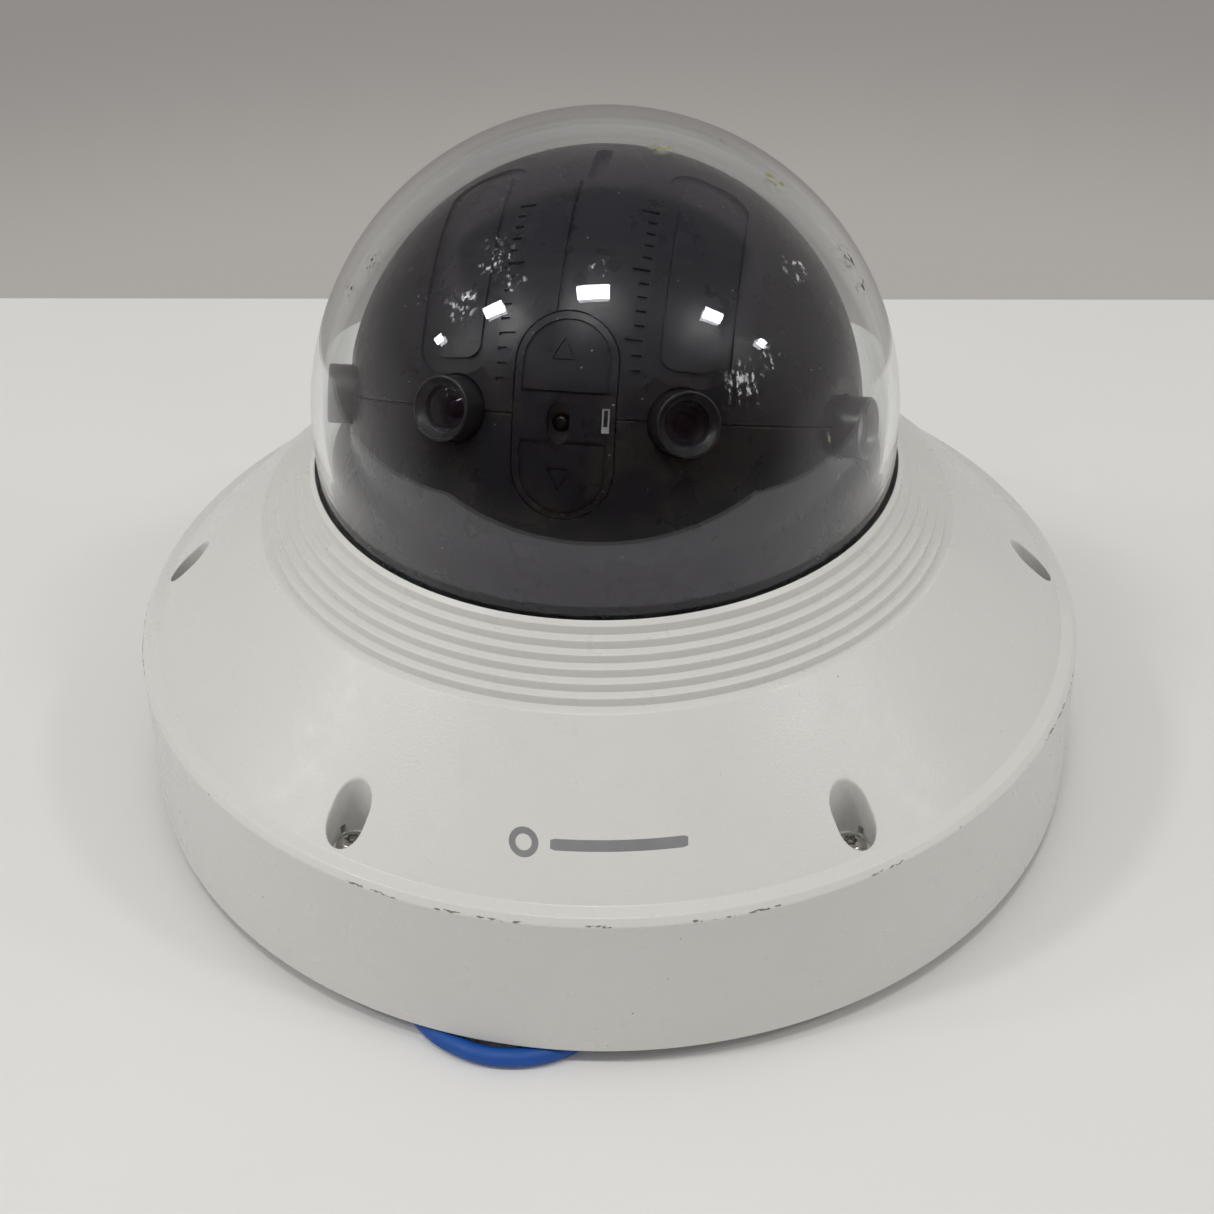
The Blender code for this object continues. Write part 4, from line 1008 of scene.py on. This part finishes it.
def make_board_parts():
    """Chips and capacitors on the main board, kept clear of the frame's connectors."""
    rng = random.Random(7)
    # azimuth, radius and reach of what stands on the board
    taken = [(180, 67, 20), (145, 68, 9), (90, 68, 14), (215, 66, 15), (265, 66, 7), (0, 66, 24)]
    taken += [(azimuth, BOARD_SCREW_R, 6) for azimuth in BOARD_SCREW_AZ]
    chips, cans = [], []
    for _ in range(400):
        azimuth, radius = rng.uniform(0, 360), rng.uniform(54, 77)
        kind = rng.choice(("chip", "small", "small", "can"))
        size = {"chip": rng.uniform(3.5, 5.5), "small": 1.4, "can": 2.6}[kind]
        here = around(azimuth, radius)
        if any((around(a, r) - here).length < keep + size * 1.5 for a, r, keep in taken):
            continue
        if not 52 + size < radius < 80 - size:
            continue
        taken.append((azimuth, radius, size))
        if kind == "can":
            top = BOARD_TOP_Z + 5.85
            can = rounded([(0, BOARD_TOP_Z, 0), (2.5, BOARD_TOP_Z, 0.1), (2.5, top, 0.4), (0, top, 0)])
            cans.append(shifted(turned(can, 24), *here))
        else:
            top = BOARD_TOP_Z + (1.3 if kind == "chip" else 0.8)
            chip = block((-size, -size * 0.7, BOARD_TOP_Z), (size, size * 0.7, top), 0.12)
            chips.append(shifted(spin_to(chip, rng.choice((0, 90)) + azimuth), *here))
    piece(joined(chips), "board_chips", "chip_black", "base")
    piece(joined(cans), "board_capacitors", "aluminium", "base")


# --- network lead ---
def lead_points():
    """Out of the boot, down to the surface, round the bend past the skirt, and back in to the plug."""
    x, y = BOOT_XY
    cx, cy = BEND_CENTRE
    y -= BOOT_REACH + 0.3
    low = LEAD_FLOOR
    points = [(x, y, BOOT_AXIS_Z), (x, y - 6, BOOT_AXIS_Z - 0.6), (x, y - 16, low + 2.2),
              (x, cy + 1.5, low + 0.25)]
    for deg in (-20, -45, -70, -90, -110, -135, -160):
        a = radians(deg)
        points.append((cx + BEND_R * cos(a), cy + BEND_R * sin(a), low))
    points += [(cx - BEND_R, cy, low), (-43.0, -66.0, low), (-48.0, -38.0, low), (-51.0, -10.0, low),
               (-46.5, 17.0, low), (-34.0, 37.0, low), (-16.0, 49.0, low), (0.0, 54.0, low + 0.7),
               (14.0, 56.0, PLUG_Z - 0.15), (20.0, 56.5, PLUG_Z)]
    return points


def smooth_route(points, parts=10):
    """A centripetal spline through the points, with so many parts in each stretch."""
    knots = [Vector(p) for p in points]
    ends = [knots[0] * 2 - knots[1]] + knots + [knots[-1] * 2 - knots[-2]]
    route = []
    for p0, p1, p2, p3 in zip(ends, ends[1:], ends[2:], ends[3:]):
        t1 = sqrt((p1 - p0).length)
        t2 = t1 + sqrt((p2 - p1).length)
        t3 = t2 + sqrt((p3 - p2).length)
        for i in range(parts):
            t = t1 + (t2 - t1) * i / parts
            a1 = p0.lerp(p1, t / t1)
            a2 = p1.lerp(p2, (t - t1) / (t2 - t1))
            a3 = p2.lerp(p3, (t - t2) / (t3 - t2))
            b1 = a1.lerp(a2, t / t2)
            b2 = a2.lerp(a3, (t - t1) / (t3 - t1))
            route.append(b1.lerp(b2, (t - t1) / (t2 - t1)))
    return route + [knots[-1]]


def make_lead():
    route = smooth_route(lead_points())
    curve = bpy.data.curves.new("blue_lead", "CURVE")
    curve.dimensions = "3D"
    curve.bevel_depth = (LEAD_R - LEAD_CLEAR) * MM
    curve.bevel_resolution = 6
    curve.use_fill_caps = True
    spline = curve.splines.new("POLY")
    spline.points.add(len(route) - 1)
    for point, place in zip(spline.points, route):
        point.co = (*(place * MM), 1.0)
    spline.use_smooth = True
    curve.materials.append(LOOKS["blue_jacket"])
    lead = linked("blue_lead", curve)
    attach(lead, "base")
    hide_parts("network_lead")
    plug = make_plug(route)


def make_plug(route):
    """Clear modular plug with gold contacts and a blue sleeve, lying where the lead ends."""
    end = route[-1]
    way = end - route[-2]
    z = PLUG_Z
    place = Matrix.Translation((end.x, end.y, 0)) @ rotation(degrees(atan2(way.y, way.x)), "Z")
    sleeve = rod((0.3, 0, z), (9.4, 0, z), 2.7, 40, end_radius=3.8)
    body = block((9.0, -5.85, z - 3.9), (30.5, 5.85, z + 3.9), 0.35)
    combine(body, [block((13.0, -1.9, z + 3.5), (27.0, 1.9, z + 5.5), 0.3)], "UNION")
    contacts = [block((26.0, -4.0 + 1.02 * k, z - 3.95), (30.3, -3.5 + 1.02 * k, z - 3.2)) for k in range(8)]
    return [piece(sleeve, "plug_sleeve", "blue_jacket", "base", place=place),
            piece(body, "plug_body", "plug_plastic", "base", "lead_plug", place),
            piece(joined(contacts), "plug_contacts", "gold", "base", place=place)]


def make_boot():
    """Elbow boot: a flanged neck through the case floor, and a ribbed sleeve that tapers along -Y."""
    neck = rounded([(0, 5.0, 0), (6.8, 5.0, 0.8), (7.0, 16.2, 0.3), (5.6, 16.2, 0), (5.6, 19.8, 0),
                    (7.6, 19.8, 0.2), (7.6, 21.3, 0.5), (2.2, 21.3, 0), (2.2, 18.5, 0), (0, 18.5, 0)])
    profile = [(0, 0), (3.4, 0), (3.4, 6.5)]
    for k in range(8):
        z = 7.5 + 2.3 * k
        r = 3.35 - 0.65 * z / BOOT_REACH
        profile += [(r, z), (r, z + 1.3), (r - 0.45, z + 1.5), (r - 0.45, z + 2.1)]
    profile += [(2.7, BOOT_REACH - 0.3), (2.5, BOOT_REACH), (0, BOOT_REACH)]
    sleeve = shifted(to_front(turned(profile, 32)), 0, 0, BOOT_AXIS_Z)
    boot = combine(turned(neck, 48), [sleeve], "UNION")
    piece(shifted(boot, *BOOT_XY, 0), "elbow_boot", "rubber", "base", "cable_boot")


# --- carried-over pieces and the table ---
def dress_cad_nodes():
    """Give every frame node that still shows the finish of its slot."""
    finishes = {
        "aluminium": ["sensor_frame", "heat_sink"],
        "circuit_board": ["main_board"] + [f"sensor_board_{n}" for n in range(1, 5)],
        "green_plastic": ["power_terminal", "alarm_terminal"],
        "plug_plastic": ["friction_washer", "reset_button"],
        "black_plastic": ["pan_turntable", "memory_card", "reset_switch"],
        "steel": ["network_jack", "card_slot", "pan_pivot_bolt", "yoke_arm_left", "yoke_arm_right",
                  "tilt_pin_left", "tilt_pin_right"],
    }
    for slot, names in finishes.items():
        for name in names:
            cad = frame["nodes"][name]
            cad.data.materials.clear()
            cad.data.materials.append(LOOKS[slot])


def make_table():
    table_top()
    table = block(TABLE_LOW, TABLE_HIGH, 2.0, 3)
    moved(table, rotation(TABLE_TURN, "Z") @ Matrix.Scale(MM, 4))
    table.name = "table"
    table.data.materials.append(LOOKS["table_top"])


def build():
    make_camera()
    make_materials()
    make_lead()
    make_boot()
    make_lights()
    make_world()
    make_table()
    make_cover()
    make_cover_mark()
    make_bubble()
    make_bubble_fittings()
    make_screws()
    place = ball_place()
    make_ball(place)
    make_lock_plate(place)
    make_plate_tag(place)
    make_lock_screw(place)
    make_lenses(place)
    make_case()
    make_seal_and_liner()
    make_board_parts()
    dress_cad_nodes()
    bpy.context.scene.view_settings.view_transform = "Standard"


build()
